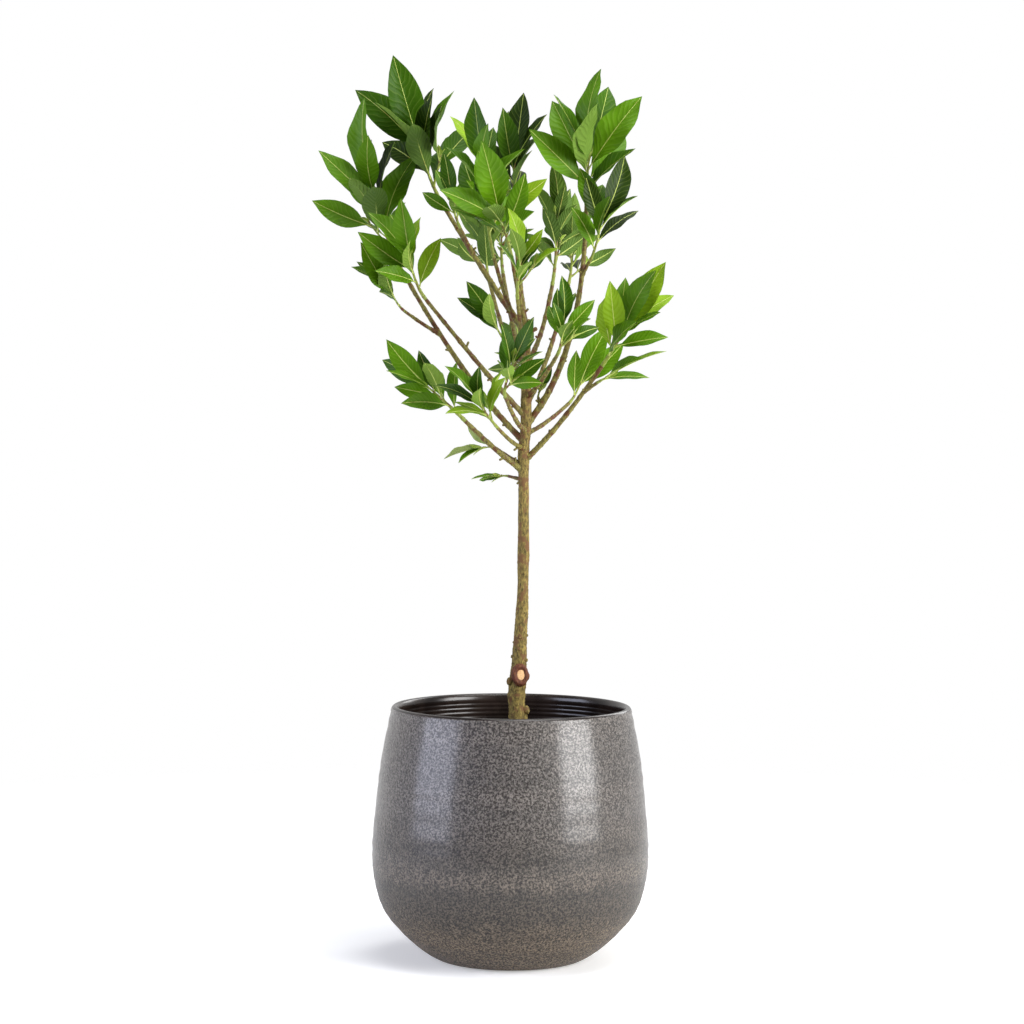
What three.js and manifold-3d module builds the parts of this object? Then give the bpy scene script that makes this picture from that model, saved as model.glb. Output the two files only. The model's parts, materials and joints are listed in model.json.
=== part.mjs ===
// Half-standard bay (Laurus nobilis) in its stoneware pot: a clear stem, some two dozen boughs and open
// sprays of leaves. Millimetres, +Z up, front towards -Y. The origin is the middle of the pot's flat foot.
import * as THREE from "three";
import { mergeVertices } from "three/addons/utils/BufferGeometryUtils.js";
import Module from "manifold-3d";

const wasm = await Module();
wasm.setup();

// ---- Driving dimensions --------------------------------------------------------------------------

const GAP = 0.3; // clearance between neighbouring pieces

// Pot: outer radius at each height, from the foot to just below the lip.
const POT_PROFILE = [
  [76, 0],
  [87, 6],
  [100, 16],
  [114.5, 30],
  [130, 50],
  [139, 78],
  [141.7, 112],
  [137.7, 160],
  [132.4, 205],
  [123.6, 250],
];
const POT_WALL = 8.5;
const POT_FLOOR = 12;
const POT_INNER_FOOT = [66, 88]; // radii of the inner floor and of the top of its rounded corner
const POT_INNER_CORNER = 24; // height of that corner's top
const POT_STEPS = 16; // rings up the outside
const POT_INNER_STEPS = 5; // rings down the inside
const POT_SIDES = 36;
const SOIL_SIDES = POT_SIDES / 2;

// Compost: a nearly level fill with a low mound round the stem.
const SOIL_EDGE = 209;
const SOIL_TOP = 214;
const SOIL_MOUND = [28, 84]; // radius of the flat top and of the foot of the mound

// Trunk: height, distance to the right of the pot's axis, and radius.
const TRUNK_FOOT = SOIL_TOP + GAP;
const TRUNK_STATIONS = [
  [TRUNK_FOOT, 9.5, 13],
  [228, 8.6, 10.4],
  [246, 6.8, 9.6],
  [262, 5.1, 8.5],
  [274, 5.6, 9.1],
  [290, 7.2, 8.7],
  [306, 7.7, 7.7],
  [328, 8.8, 7],
  [365, 10.5, 6],
  [406, 10.9, 5.9],
  [488, 10.6, 5.7],
  [518, 10.3, 6.1],
  [550, 12.6, 5.7],
  [610, 12.2, 5.1],
  [648, 11.5, 4.2],
];
const TRUNK_SIDES = 8;
const TRUNK_RINGS = 22;
// The sawn stub of a lower branch: how far it stands from the trunk's middle, and which way.
const PRUNING_CUT = { height: 288, bearing: -78, rise: 7, radius: 6.8, stands: 11.5 };
const STUB_RADII = [2.6, 1.9]; // foot and end of the stubs round the leader
const LEADER_STUBS = [
  // cut stubs round the top of the leader: height, clock, toward, length
  [636, 25, 20, 13],
  [641, 70, 35, 12],
  [628, 150, 30, 9],
];

const LIMB_SIDES = 6;
const LIMB_RINGS = 5;
const LIMB_ELBOW = 0.35; // where along its chord a limb sags most

// Directions are given as the plant is seen from the front: "clock" is the angle from +X towards +Z,
// and "toward" is the angle out of that plane towards -Y. A negative toward points to the back.

// Limbs, each with the spray of foliage that grows on from its tip. "from" is the parent and "at" the
// place on it: a height on the trunk, or a share of a bough's length. "aim" and "length" give the chord,
// "bow" how far the limb sags below it as a share of its length, and "girth" its diameters at foot and
// tip. In "spray", "aim" and "length" are the stem's, "twigs" and "leaves" are counts, "blade" is the
// leaves' mean length, "turn" the degrees at which their spiral starts and "seed" feeds the rule.
const LIMBS = [
  {
    name: "low_left", from: "trunk", at: 494, aim: [140, 15], length: 80, bow: 0.05, girth: [6.2, 4.4],
    spray: { aim: [138, 12], length: 50, twigs: 0, leaves: 8, blade: 56, turn: 100, seed: 29 },
  },
  {
    name: "low_left_inner", from: "trunk", at: 520, aim: [142, 57], length: 62, bow: 0.08, girth: [5, 3.4],
    spray: { aim: [128, 34], length: 34, twigs: 1, leaves: 7, blade: 46, turn: 330, seed: 30 },
  },
  {
    name: "low_under", from: "trunk", at: 500, aim: [150, -42], length: 42, bow: 0.05, girth: [4.4, 3],
    spray: { aim: [176, -22], length: 14, twigs: 0, leaves: 2, blade: 38, turn: 80, seed: 31 },
  },
  {
    name: "low_twig", from: "trunk", at: 488, aim: [168, -30], length: 18, bow: 0.02, girth: [4.2, 3],
    spray: { aim: [178, -10], length: 6, twigs: 0, leaves: 1, blade: 28, turn: 0, seed: 36 },
  },
  {
    name: "left_long", from: "trunk", at: 528, aim: [126, -3], length: 215, bow: 0.07, girth: [6.6, 4.2],
    spray: { aim: [110, 3], length: 84, twigs: 1, leaves: 9, blade: 82, turn: 150, seed: 12 },
  },
  {
    name: "left_fork", from: "left_long", at: 0.71, aim: [148, 19], length: 44, bow: 0.04, girth: [4.2, 3.2],
    spray: { aim: [128, 22], length: 20, twigs: 0, leaves: 4, blade: 60, turn: 200, seed: 13 },
  },
  {
    name: "left_inner", from: "trunk", at: 552, aim: [131, 15], length: 160, bow: 0.02, girth: [6, 3.8],
    spray: { aim: [112, 20], length: 44, twigs: 0, leaves: 8, blade: 58, turn: 90, seed: 14 },
  },
  {
    name: "upper_left", from: "trunk", at: 636, aim: [123, -9], length: 162, bow: 0.02, girth: [7, 4.4],
    spray: { aim: [112, 2], length: 60, twigs: 1, leaves: 9, blade: 84, turn: 40, seed: 11 },
  },
  {
    name: "upper_spur", from: "upper_left", at: 0.68, aim: [118, 44], length: 38, bow: 0.02,
    girth: [4.6, 3.4],
    spray: { aim: [110, 18], length: 26, twigs: 0, leaves: 6, blade: 44, turn: 20, seed: 15 },
  },
  {
    name: "centre_left", from: "upper_left", at: 0.17, aim: [110, 35], length: 74, bow: 0.08, girth: [5, 3.8],
    spray: { aim: [97, 10], length: 88, twigs: 1, leaves: 8, blade: 62, turn: 60, seed: 16 },
  },
  {
    name: "centre_stub", from: "trunk", at: 616, aim: [150, 50], length: 40, bow: 0.06, girth: [4.6, 3.2],
    spray: { aim: [124, 22], length: 16, twigs: 0, leaves: 3, blade: 46, turn: 0, seed: 17 },
  },
  {
    name: "centre", from: "trunk", at: 640, aim: [102, 33], length: 82, bow: 0.03, girth: [5.4, 4],
    spray: { aim: [108, 34], length: 54, twigs: 0, leaves: 6, blade: 76, turn: 140, seed: 18 },
  },
  {
    name: "centre_top", from: "trunk", at: 644, aim: [97, -13], length: 104, bow: 0.02, girth: [5.4, 3.8],
    spray: { aim: [90, -4], length: 70, twigs: 1, leaves: 8, blade: 62, turn: 230, seed: 19 },
  },
  {
    name: "front_high", from: "trunk", at: 598, aim: [98, 52], length: 112, bow: 0.08, girth: [5.6, 3.8],
    spray: { aim: [84, 20], length: 46, twigs: 1, leaves: 8, blade: 44, turn: 10, seed: 20 },
  },
  {
    name: "front_low", from: "trunk", at: 540, aim: [122, 66], length: 95, bow: 0.1, girth: [5.6, 3.6],
    spray: { aim: [78, 24], length: 36, twigs: 1, leaves: 6, blade: 44, turn: 70, seed: 21 },
  },
  {
    name: "right_centre", from: "trunk", at: 606, aim: [72, -34], length: 104, bow: 0.17, girth: [5.8, 4.2],
    spray: { aim: [86, -8], length: 70, twigs: 1, leaves: 8, blade: 52, turn: 300, seed: 22 },
  },
  {
    name: "right_long", from: "trunk", at: 545, aim: [75, -2], length: 232, bow: 0.17, girth: [7, 4.4],
    spray: { aim: [88, 4], length: 46, twigs: 0, leaves: 9, blade: 80, turn: 120, seed: 23 },
  },
  {
    name: "right_fork", from: "right_long", at: 0.76, aim: [60, 42], length: 20, bow: 0.02, girth: [4.2, 3.2],
    spray: { aim: [74, 10], length: 42, twigs: 0, leaves: 7, blade: 62, turn: 260, seed: 24 },
  },
  {
    name: "right_spur", from: "right_long", at: 0.14, aim: [110, -40], length: 10, bow: 0, girth: [3.6, 2.8],
    spray: { aim: [80, -15], length: 6, twigs: 0, leaves: 1, blade: 28, turn: 0, seed: 37 },
  },
  {
    name: "right_front", from: "trunk", at: 573, aim: [54, 50], length: 80, bow: 0.08, girth: [5.4, 3.8],
    spray: { aim: [80, 12], length: 30, twigs: 1, leaves: 7, blade: 42, turn: 30, seed: 25 },
  },
  {
    name: "far_right", from: "trunk", at: 504, aim: [51, 9], length: 126, bow: 0.06, girth: [6.4, 4.2],
    spray: { aim: [58, 8], length: 42, twigs: 0, leaves: 9, blade: 70, turn: 170, seed: 26 },
  },
  {
    name: "far_right_fork", from: "far_right", at: 0.8, aim: [34, 50], length: 24, bow: 0, girth: [4.2, 3.4],
    spray: { aim: [30, 22], length: 12, twigs: 0, leaves: 2, blade: 56, turn: 40, seed: 27 },
  },
  {
    name: "low_right", from: "trunk", at: 537, aim: [35, -42], length: 74, bow: 0.08, girth: [5.2, 3.6],
    spray: { aim: [60, -20], length: 26, twigs: 0, leaves: 3, blade: 56, turn: 220, seed: 28 },
  },
  {
    name: "back_low", from: "trunk", at: 548, aim: [92, -57], length: 84, bow: 0.08, girth: [5.4, 3.6],
    spray: { aim: [100, -30], length: 34, twigs: 1, leaves: 6, blade: 38, turn: 250, seed: 32 },
  },
  {
    name: "back_high", from: "trunk", at: 596, aim: [103, -46], length: 158, bow: 0.1, girth: [6, 4],
    spray: { aim: [92, -20], length: 60, twigs: 2, leaves: 8, blade: 54, turn: 290, seed: 33 },
  },
  {
    name: "back_left", from: "trunk", at: 580, aim: [109, -38], length: 150, bow: 0.08, girth: [5.8, 3.8],
    spray: { aim: [98, -16], length: 48, twigs: 1, leaves: 7, blade: 52, turn: 180, seed: 34 },
  },
  {
    name: "back_right", from: "trunk", at: 566, aim: [71, -40], length: 178, bow: 0.1, girth: [6, 3.8],
    spray: { aim: [84, -16], length: 46, twigs: 2, leaves: 7, blade: 50, turn: 350, seed: 35 },
  },
];

// Stems and side twigs of a spray.
const STEM_SIDES = 4;
const STEM_RINGS = 3;
const STEM_ELBOW = 0.4; // how far a stem keeps its bough's heading, as a share of its length
const STEM_TIP_SHARE = 0.42; // a stem's tip against its foot
const TWIG_SHARE = 0.42; // a side twig's length against its stem's, give or take a fifth
const TWIG_SHORTEST = 14;
const TWIG_SPREAD = 42; // degrees between a side twig and its stem
const TWIG_LIFT = 0.2; // how far a side twig bends up, as a share of its length
const TWIG_GIRTH = 0.72; // a side twig's foot against its stem there
const TWIG_TAPER = 0.4;
const TWIG_TURN = 70; // degrees between the start of the leaf spiral and the first side twig
const TWIG_LEAVES = 2;
const TWIG_BLADE = 0.86; // its leaves against those of the stem

// Leaves stand in a spiral, the older ones wider spread and nearer the foot of the stem.
const SPIRAL = 137.5; // degrees from one leaf to the next round the stem
const SPIRAL_FOOT = 0.1; // share of the stem below its lowest leaf
const LEAF_LAST = 0.99; // the furthest share of a stem at which a leaf stands
const SPIRAL_JITTER = 16; // degrees
const LEAF_SPREAD = [64, 28]; // degrees between leaf and stem, at the foot and at the tip of the stem
const TIP_SPREAD = 8; // the same for the leaf that ends the stem
const LEAF_SPREAD_JITTER = 12;
const LEAF_LENGTHS = [0.78, 1.18]; // shortest and longest against the mean
const LEAF_ARCH = [0.02, 0.1]; // least and most rise of the blade above its chord, against its length
const LEAF_TWIST = 42; // largest turn of a blade about its own length, in degrees
const LEAF_WIDTH = 0.37; // widest part against the whole length
const LEAF_THICK = 1 / 75; // depth from the flat face to the midrib against the length
const LEAF_STATIONS = [
  // share of the length, share of the half width
  [0, 0.07],
  [0.13, 0.09],
  [0.42, 0.96],
  [0.74, 0.74],
  [1, 0],
];
const BLADE_STATIONS = LEAF_STATIONS.slice(1); // without the stalk, whose root may touch its neighbours'
const LEAF_SWINGS = [0, 20, -20, 40, -40, 65, -65, 95, -95]; // degrees round its stem to come clear
const LIGHT = [-0.1, 0.8, 0.6]; // where upper faces turn: left, outward to front or back, and up
const STEM_PULL = 0.35; // how far the stem's own heading draws them
const BACK_FROM = 50; // sprays that start further back than this face the light behind the plant
const SPACE_MARGIN = 1.25; // a spray's space is a ball of this share of half the stem and one leaf
const MERGE_WITHIN = 0.12; // mm within which a fused spray's slivers are smoothed away

const COLOURS = {
  pot: 0x4a423c,
  soil: 0x2e2219,
  bark: 0x6b5f49,
  bough: 0x6f5f3c,
  foliage: 0x2f6a2a,
};

// ---- Solids --------------------------------------------------------------------------------------

function asSolid(geometry) {
  geometry.deleteAttribute("normal");
  geometry.deleteAttribute("uv");
  const merged = mergeVertices(geometry, 1e-4);
  return new wasm.Manifold(
    new wasm.Mesh({
      numProp: 3,
      vertProperties: merged.attributes.position.array,
      triVerts: new Uint32Array(merged.index.array),
    }),
  );
}

function asGeometry(solid) {
  const mesh = solid.getMesh();
  const geometry = new THREE.BufferGeometry();
  geometry.setAttribute("position", new THREE.BufferAttribute(mesh.vertProperties, 3));
  geometry.setIndex(new THREE.BufferAttribute(mesh.triVerts, 1));
  geometry.computeVertexNormals();
  return geometry;
}

// The largest body of a solid: scraps are dropped, and with them any sealed hollow is filled.
function largestBody(solid) {
  const bodies = solid.decompose();
  bodies.sort((a, b) => b.volume() - a.volume());
  return bodies[0];
}

function boxesMeet(a, b) {
  const boxA = a.boundingBox();
  const boxB = b.boundingBox();
  return [0, 1, 2].every((i) => boxA.min[i] < boxB.max[i] + GAP && boxB.min[i] < boxA.max[i] + GAP);
}

function tooClose(a, b) {
  return boxesMeet(a, b) && a.minGap(b, 2 * GAP) < GAP;
}

// ---- Seeded rule ---------------------------------------------------------------------------------

// Random numbers from 0 to 1, always the same ones for the same seed.
function randomFrom(seed) {
  let state = seed;
  return () => {
    state = (state + 0x6d2b79f5) | 0;
    let t = Math.imul(state ^ (state >>> 15), 1 | state);
    t = (t + Math.imul(t ^ (t >>> 7), 61 | t)) ^ t;
    return ((t ^ (t >>> 14)) >>> 0) / 4294967296;
  };
}

function between([low, high], share) {
  return low + (high - low) * share;
}

function radians(degrees) {
  return (degrees * Math.PI) / 180;
}

function direction([clock, toward]) {
  const across = Math.cos(radians(toward));
  return new THREE.Vector3(
    across * Math.cos(radians(clock)),
    -Math.sin(radians(toward)),
    across * Math.sin(radians(clock)),
  );
}

function squareTo(axis, vector) {
  return vector.clone().addScaledVector(axis, -vector.dot(axis)).normalize();
}

// Two axes square to a limb's chord, which stay the same all along it.
function sideAxes(chord) {
  const reference = Math.abs(chord.y) > 0.9 ? new THREE.Vector3(1, 0, 0) : new THREE.Vector3(0, 1, 0);
  const u = squareTo(chord, reference);
  return [u, new THREE.Vector3().crossVectors(u, chord)];
}

// A straight cylinder bent along a curve, with its own radius at each ring. The rings stand square to
// the curve, or to a fixed axis where one is given.
function limbGeometry(curve, radiusAt, sides, rings, axis) {
  const geometry = new THREE.CylinderGeometry(1, 1, 1, sides, rings);
  const position = geometry.attributes.position;
  for (let i = 0; i < position.count; i++) {
    const share = THREE.MathUtils.clamp(position.getY(i) + 0.5, 0, 1);
    const [u, v] = sideAxes(axis ?? curve.getTangent(share));
    const radius = radiusAt(share);
    const point = curve
      .getPoint(share)
      .addScaledVector(u, radius * position.getX(i))
      .addScaledVector(v, radius * position.getZ(i));
    position.setXYZ(i, point.x, point.y, point.z);
  }
  return geometry;
}

// ---- Pot and compost -----------------------------------------------------------------------------

function lathe(points, sides) {
  const geometry = new THREE.LatheGeometry(points, sides);
  geometry.rotateX(Math.PI / 2);
  return geometry;
}

const potSide = new THREE.SplineCurve(POT_PROFILE.map((point) => new THREE.Vector2(...point)));

function potRadiusAt(height) {
  return potSide.getPoints(200).find((point) => point.y >= height).x;
}

const potEdge = potSide.getPoint(1);

// The pot's inner side from the rim down to the middle of its floor.
const potInside = [
  ...Array.from({ length: POT_INNER_STEPS }, (_, i) => {
    const height = THREE.MathUtils.lerp(potEdge.y, POT_INNER_CORNER, i / POT_INNER_STEPS);
    return new THREE.Vector2(potRadiusAt(height - 0.01) - POT_WALL, height);
  }),
  new THREE.Vector2(POT_INNER_FOOT[1], POT_INNER_CORNER),
  new THREE.Vector2(POT_INNER_FOOT[0], POT_FLOOR),
  new THREE.Vector2(0, POT_FLOOR),
];

function potGeometry() {
  const { x, y } = potEdge;
  const points = [
    new THREE.Vector2(0, 0),
    ...potSide.getPoints(POT_STEPS),
    new THREE.Vector2(x - 0.4, y + 3.6),
    new THREE.Vector2(x - 2, y + 6.2),
    new THREE.Vector2(x - POT_WALL / 2, y + 7),
    new THREE.Vector2(x - POT_WALL + 1.4, y + 5.4),
    ...potInside,
  ];
  return lathe(points, POT_SIDES);
}

// The compost follows the pot's inner side, a little clear of it, up to its own level.
function soilGeometry() {
  const under = potInside.findIndex((point) => point.y < SOIL_EDGE);
  const [above, below] = [potInside[under - 1], potInside[under]];
  const edge = THREE.MathUtils.mapLinear(SOIL_EDGE, above.y, below.y, above.x, below.x);
  const wall = potInside.slice(under, -1).map(({ x, y }) => new THREE.Vector2(x - 3 * GAP, y + GAP));
  const points = [
    new THREE.Vector2(0, POT_FLOOR + GAP),
    ...wall.reverse(),
    new THREE.Vector2(edge - 3 * GAP, SOIL_EDGE),
    new THREE.Vector2(SOIL_MOUND[1], SOIL_EDGE + 1),
    new THREE.Vector2(SOIL_MOUND[0], SOIL_TOP),
    new THREE.Vector2(0, SOIL_TOP),
  ];
  return lathe(points, SOIL_SIDES);
}

// ---- Trunk and limbs -----------------------------------------------------------------------------

const trunkCurve = new THREE.CatmullRomCurve3(
  TRUNK_STATIONS.map(([height, right]) => new THREE.Vector3(right, 0, height)),
  false,
  "catmullrom",
);

// The curve's parameter at a height, as each stretch between stations has an equal share of it.
function trunkShareAt(height) {
  const last = TRUNK_STATIONS.length - 1;
  const stretch = TRUNK_STATIONS.findIndex(([top], i) => i === last || TRUNK_STATIONS[i + 1][0] > height);
  const [low] = TRUNK_STATIONS[stretch];
  const [high] = TRUNK_STATIONS[Math.min(stretch + 1, last)];
  return Math.min(1, (stretch + (height - low) / (high - low || 1)) / last);
}

function trunkRadiusAt(share) {
  const last = TRUNK_STATIONS.length - 1;
  const stretch = Math.min(Math.floor(share * last), last - 1);
  const radii = [TRUNK_STATIONS[stretch][2], TRUNK_STATIONS[stretch + 1][2]];
  return between(radii, share * last - stretch);
}

// The sawn stub of a lower branch, and the short stubs round the top of the leader.
function trunkStubs(extra) {
  const foot = trunkCurve.getPoint(trunkShareAt(PRUNING_CUT.height));
  const outward = new THREE.Vector3(0, 0, Math.tan(radians(PRUNING_CUT.rise)));
  outward.x = Math.cos(radians(PRUNING_CUT.bearing));
  outward.y = Math.sin(radians(PRUNING_CUT.bearing));
  const end = foot.clone().addScaledVector(outward, PRUNING_CUT.stands);
  const cut = limbGeometry(new THREE.LineCurve3(foot, end), () => PRUNING_CUT.radius + extra, TRUNK_SIDES, 1);
  const stubs = LEADER_STUBS.map(([height, clock, toward, length]) => {
    const from = trunkCurve.getPoint(trunkShareAt(height));
    const to = from.clone().addScaledVector(direction([clock, toward]), length);
    const radiusAt = (share) => between(STUB_RADII, share) + extra;
    return limbGeometry(new THREE.LineCurve3(from, to), radiusAt, STEM_SIDES, 1);
  });
  return [cut, ...stubs].map(asSolid);
}

function trunkSolid(extra) {
  const radiusAt = (share) => trunkRadiusAt(share) + extra;
  const upright = new THREE.Vector3(0, 0, 1);
  const body = asSolid(limbGeometry(trunkCurve, radiusAt, TRUNK_SIDES, TRUNK_RINGS, upright));
  const whole = trunkStubs(extra).reduce((joined, stub) => joined.add(stub), body);
  return extra ? whole.add(whole.translate([0, 0, extra])) : whole;
}

const limbs = new Map([["trunk", { curve: trunkCurve, solid: trunkSolid(0), seat: trunkSolid(GAP) }]]);

function limbCurve({ from, at, aim, length, bow }) {
  const parent = limbs.get(from).curve;
  const foot = parent.getPoint(from === "trunk" ? trunkShareAt(at) : at);
  const chord = direction(aim);
  const sag = squareTo(chord, new THREE.Vector3(0, 0, -1));
  const elbow = foot
    .clone()
    .addScaledVector(chord, length * LIMB_ELBOW)
    .addScaledVector(sag, length * bow);
  const tip = foot.clone().addScaledVector(chord, length);
  return new THREE.QuadraticBezierCurve3(foot, elbow, tip);
}

// A limb starts inside its parent and is cut back to a saddle that clears the parent's bark.
function addLimb(row) {
  const curve = limbCurve(row);
  const [foot, tip] = row.girth.map((girth) => girth / 2);
  const radiusAt = (extra) => (share) => between([foot, tip], share) + extra;
  const whole = asSolid(limbGeometry(curve, radiusAt(0), LIMB_SIDES, LIMB_RINGS));
  const solid = largestBody(whole.subtract(limbs.get(row.from).seat));
  const seat = asSolid(limbGeometry(curve, radiusAt(GAP), LIMB_SIDES, LIMB_RINGS));
  limbs.set(row.name, { curve, solid, seat, tipRadius: tip });
}

LIMBS.forEach(addLimb);

// ---- Foliage -------------------------------------------------------------------------------------

// One blade with its stalk: a flat three-cornered section, two margins over a midrib, drawn out along a
// line that arches from root to tip.
function leafSolid(leaf, stations) {
  const { root, along, face, length, arch } = leaf;
  const side = new THREE.Vector3().crossVectors(face, along);
  const last = stations.length - 1;
  const geometry = new THREE.ConeGeometry(1, 1, 3, last);
  const position = geometry.attributes.position;
  for (let i = 0; i < position.count; i++) {
    const station = Math.round((position.getY(i) + 0.5) * last);
    const [share, width] = stations[station];
    const ring = Math.hypot(position.getX(i), position.getZ(i)) || 1;
    const across = position.getX(i) / ring / Math.sin(Math.PI / 3);
    const depth = share < 1 && position.getZ(i) / ring > 0.9 ? length * LEAF_THICK : 0;
    const point = root
      .clone()
      .addScaledVector(along, share * length)
      .addScaledVector(face, arch * length * 4 * share * (1 - share) - depth)
      .addScaledVector(side, (across * length * LEAF_WIDTH * width) / 2);
    position.setXYZ(i, point.x, point.y, point.z);
  }
  return asSolid(geometry);
}

// Where a blade turns its upper face: mostly to the light, partly along the stem it stands on.
function leafFace(along, stem, light, twist) {
  const wanted = light.clone().addScaledVector(stem, STEM_PULL);
  return squareTo(along, wanted).applyAxisAngle(along, twist);
}

// A direction that leans off a stem by some angle, at some turn round it.
function leaning(stem, spread, round) {
  const [u, v] = sideAxes(stem);
  const outward = u.multiplyScalar(Math.cos(round)).addScaledVector(v, Math.sin(round));
  return stem.clone().multiplyScalar(Math.cos(spread)).addScaledVector(outward, Math.sin(spread));
}

function stemCurve(limb, { aim, length }) {
  const heading = limb.curve.getTangent(1);
  const start = limb.curve.getPoint(1).addScaledVector(heading, GAP);
  const elbow = start.clone().addScaledVector(heading, length * STEM_ELBOW);
  const tip = start.clone().addScaledVector(direction(aim), length);
  return new THREE.QuadraticBezierCurve3(start, elbow, tip);
}

function spiralLeaves(curve, count, turn, blade, random) {
  return Array.from({ length: count }, (_, i) => {
    const share = SPIRAL_FOOT + (1 - SPIRAL_FOOT) * Math.sqrt((i + 0.6) / count);
    return {
      curve,
      share: Math.min(share, LEAF_LAST),
      spread: radians(between(LEAF_SPREAD, share) + LEAF_SPREAD_JITTER * (random() - 0.5)),
      round: radians(turn + SPIRAL * i + SPIRAL_JITTER * (random() - 0.5)),
      length: blade * between(LEAF_LENGTHS, random()),
      twist: radians(LEAF_TWIST * (2 * random() - 1)),
      arch: between(LEAF_ARCH, random()),
    };
  });
}

// The leaf that ends a stem and carries on its heading, with the longest blade of its spray.
function tipLeaf(curve, blade, random) {
  return {
    curve,
    share: LEAF_LAST,
    spread: radians(TIP_SPREAD),
    round: 2 * Math.PI * random(),
    length: blade * LEAF_LENGTHS[1],
    twist: radians(LEAF_TWIST * (2 * random() - 1)),
    arch: between(LEAF_ARCH, random()),
  };
}

// A leaf's place and axes, swung round its stem by some degrees.
function placedLeaf({ curve, share, spread, round, length, twist, arch }, swing, light) {
  const stem = curve.getTangent(share);
  const along = leaning(stem, spread, round + radians(swing));
  return { root: curve.getPoint(share), along, face: leafFace(along, stem, light, twist), length, arch };
}

// Side twigs along a stem, each with its own few leaves.
function sideTwigs(curve, spray, radiusAt, random) {
  return Array.from({ length: spray.twigs }, (_, i) => {
    const share = (i + 0.7) / (spray.twigs + 0.9);
    const round = radians(spray.turn + TWIG_TURN + SPIRAL * i);
    const along = leaning(curve.getTangent(share), radians(TWIG_SPREAD), round);
    const length = Math.max(TWIG_SHORTEST, spray.length * TWIG_SHARE * (0.8 + 0.4 * random()));
    const foot = curve.getPoint(share);
    const elbow = foot.clone().addScaledVector(along, length / 2);
    const tip = foot.clone().addScaledVector(along, length);
    tip.z += length * TWIG_LIFT;
    const twig = new THREE.QuadraticBezierCurve3(foot, elbow, tip);
    const thick = radiusAt(share) * TWIG_GIRTH;
    return {
      solid: asSolid(limbGeometry(twig, (s) => thick * (1 - TWIG_TAPER * s), STEM_SIDES, 2)),
      leaves: spiralLeaves(twig, TWIG_LEAVES, spray.turn + 90 * i, spray.blade * TWIG_BLADE, random),
    };
  });
}

const sprays = new Map();

// A spray: its stem grows on from a bough's tip, side twigs that come clear stand on it, and each leaf
// takes the first swing that keeps it inside the spray's space and clear of everything else.
function addSpray({ name, spray }) {
  const random = randomFrom(spray.seed);
  const limb = limbs.get(name);
  const curve = stemCurve(limb, spray);
  const radiusAt = (share) => limb.tipRadius * between([1, STEM_TIP_SHARE], share);
  const others = [...limbs.values(), ...sprays.values()].map(({ solid }) => solid);
  const leaves = [tipLeaf(curve, spray.blade, random)];
  leaves.push(...spiralLeaves(curve, spray.leaves, spray.turn, spray.blade, random));
  const twigs = sideTwigs(curve, spray, radiusAt, random);
  const clear = twigs.filter(({ solid }) => !others.some((other) => tooClose(solid, other)));
  clear.forEach((twig) => leaves.push(...twig.leaves));
  const pieces = clear.map(({ solid }) => solid);
  pieces.push(asSolid(limbGeometry(curve, radiusAt, STEM_SIDES, STEM_RINGS)));

  const inFront = curve.getPoint(0).y < BACK_FROM;
  const light = new THREE.Vector3(LIGHT[0], inFront ? -LIGHT[1] : LIGHT[1], LIGHT[2]);
  const middle = curve.getPoint(0.5);
  const space = SPACE_MARGIN * (spray.length / 2 + Math.max(...leaves.map(({ length }) => length)));
  const blades = [];
  for (const leaf of leaves) {
    for (const swing of LEAF_SWINGS) {
      const placed = placedLeaf(leaf, swing, light);
      const tip = placed.root.clone().addScaledVector(placed.along, placed.length);
      if (tip.distanceTo(middle) > space) continue;
      const whole = leafSolid(placed, LEAF_STATIONS);
      if (others.some((other) => tooClose(whole, other))) continue;
      const blade = leafSolid(placed, BLADE_STATIONS);
      if (blades.some((other) => tooClose(blade, other))) continue;
      blades.push(blade);
      pieces.push(whole);
      break;
    }
  }
  const solid = largestBody(wasm.Manifold.union(pieces)).simplify(MERGE_WITHIN);
  sprays.set(name, { solid, kept: blades.length, asked: leaves.length });
}

LIMBS.forEach(addSpray);

// ---- Assembly ------------------------------------------------------------------------------------

function mesh(name, geometry, color, roughness) {
  const made = new THREE.Mesh(geometry, new THREE.MeshStandardMaterial({ color, roughness, metalness: 0 }));
  made.name = name;
  return made;
}

function planter() {
  const group = new THREE.Group();
  group.add(mesh("pot", potGeometry(), COLOURS.pot, 0.35));
  group.add(mesh("compost", soilGeometry(), COLOURS.soil, 0.95));
  return group;
}

function framework() {
  const group = new THREE.Group();
  for (const [name, { solid }] of limbs) {
    const isTrunk = name === "trunk";
    const colour = isTrunk ? COLOURS.bark : COLOURS.bough;
    group.add(mesh(isTrunk ? name : `bough_${name}`, asGeometry(solid), colour, 0.8));
  }
  return group;
}

function crown() {
  const group = new THREE.Group();
  for (const [name, { solid }] of sprays) {
    group.add(mesh(`foliage_${name}`, asGeometry(solid), COLOURS.foliage, 0.45));
  }
  return group;
}

const plant = new THREE.Group();
plant.add(planter(), framework(), crown());

export default plant;
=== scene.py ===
"""Half-standard bay (Laurus nobilis) in its stoneware pot, with the detail of bark, leaves and glaze.

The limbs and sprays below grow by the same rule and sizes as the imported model's solids, in millimetres.
The corners of those solids say which leaves they hold and how each is swung. Meshes use metres.
"""
import json
import math
from collections import namedtuple

import bmesh
import bpy
import numpy as np
from mathutils import Euler, Matrix, Vector, kdtree, noise

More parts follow.
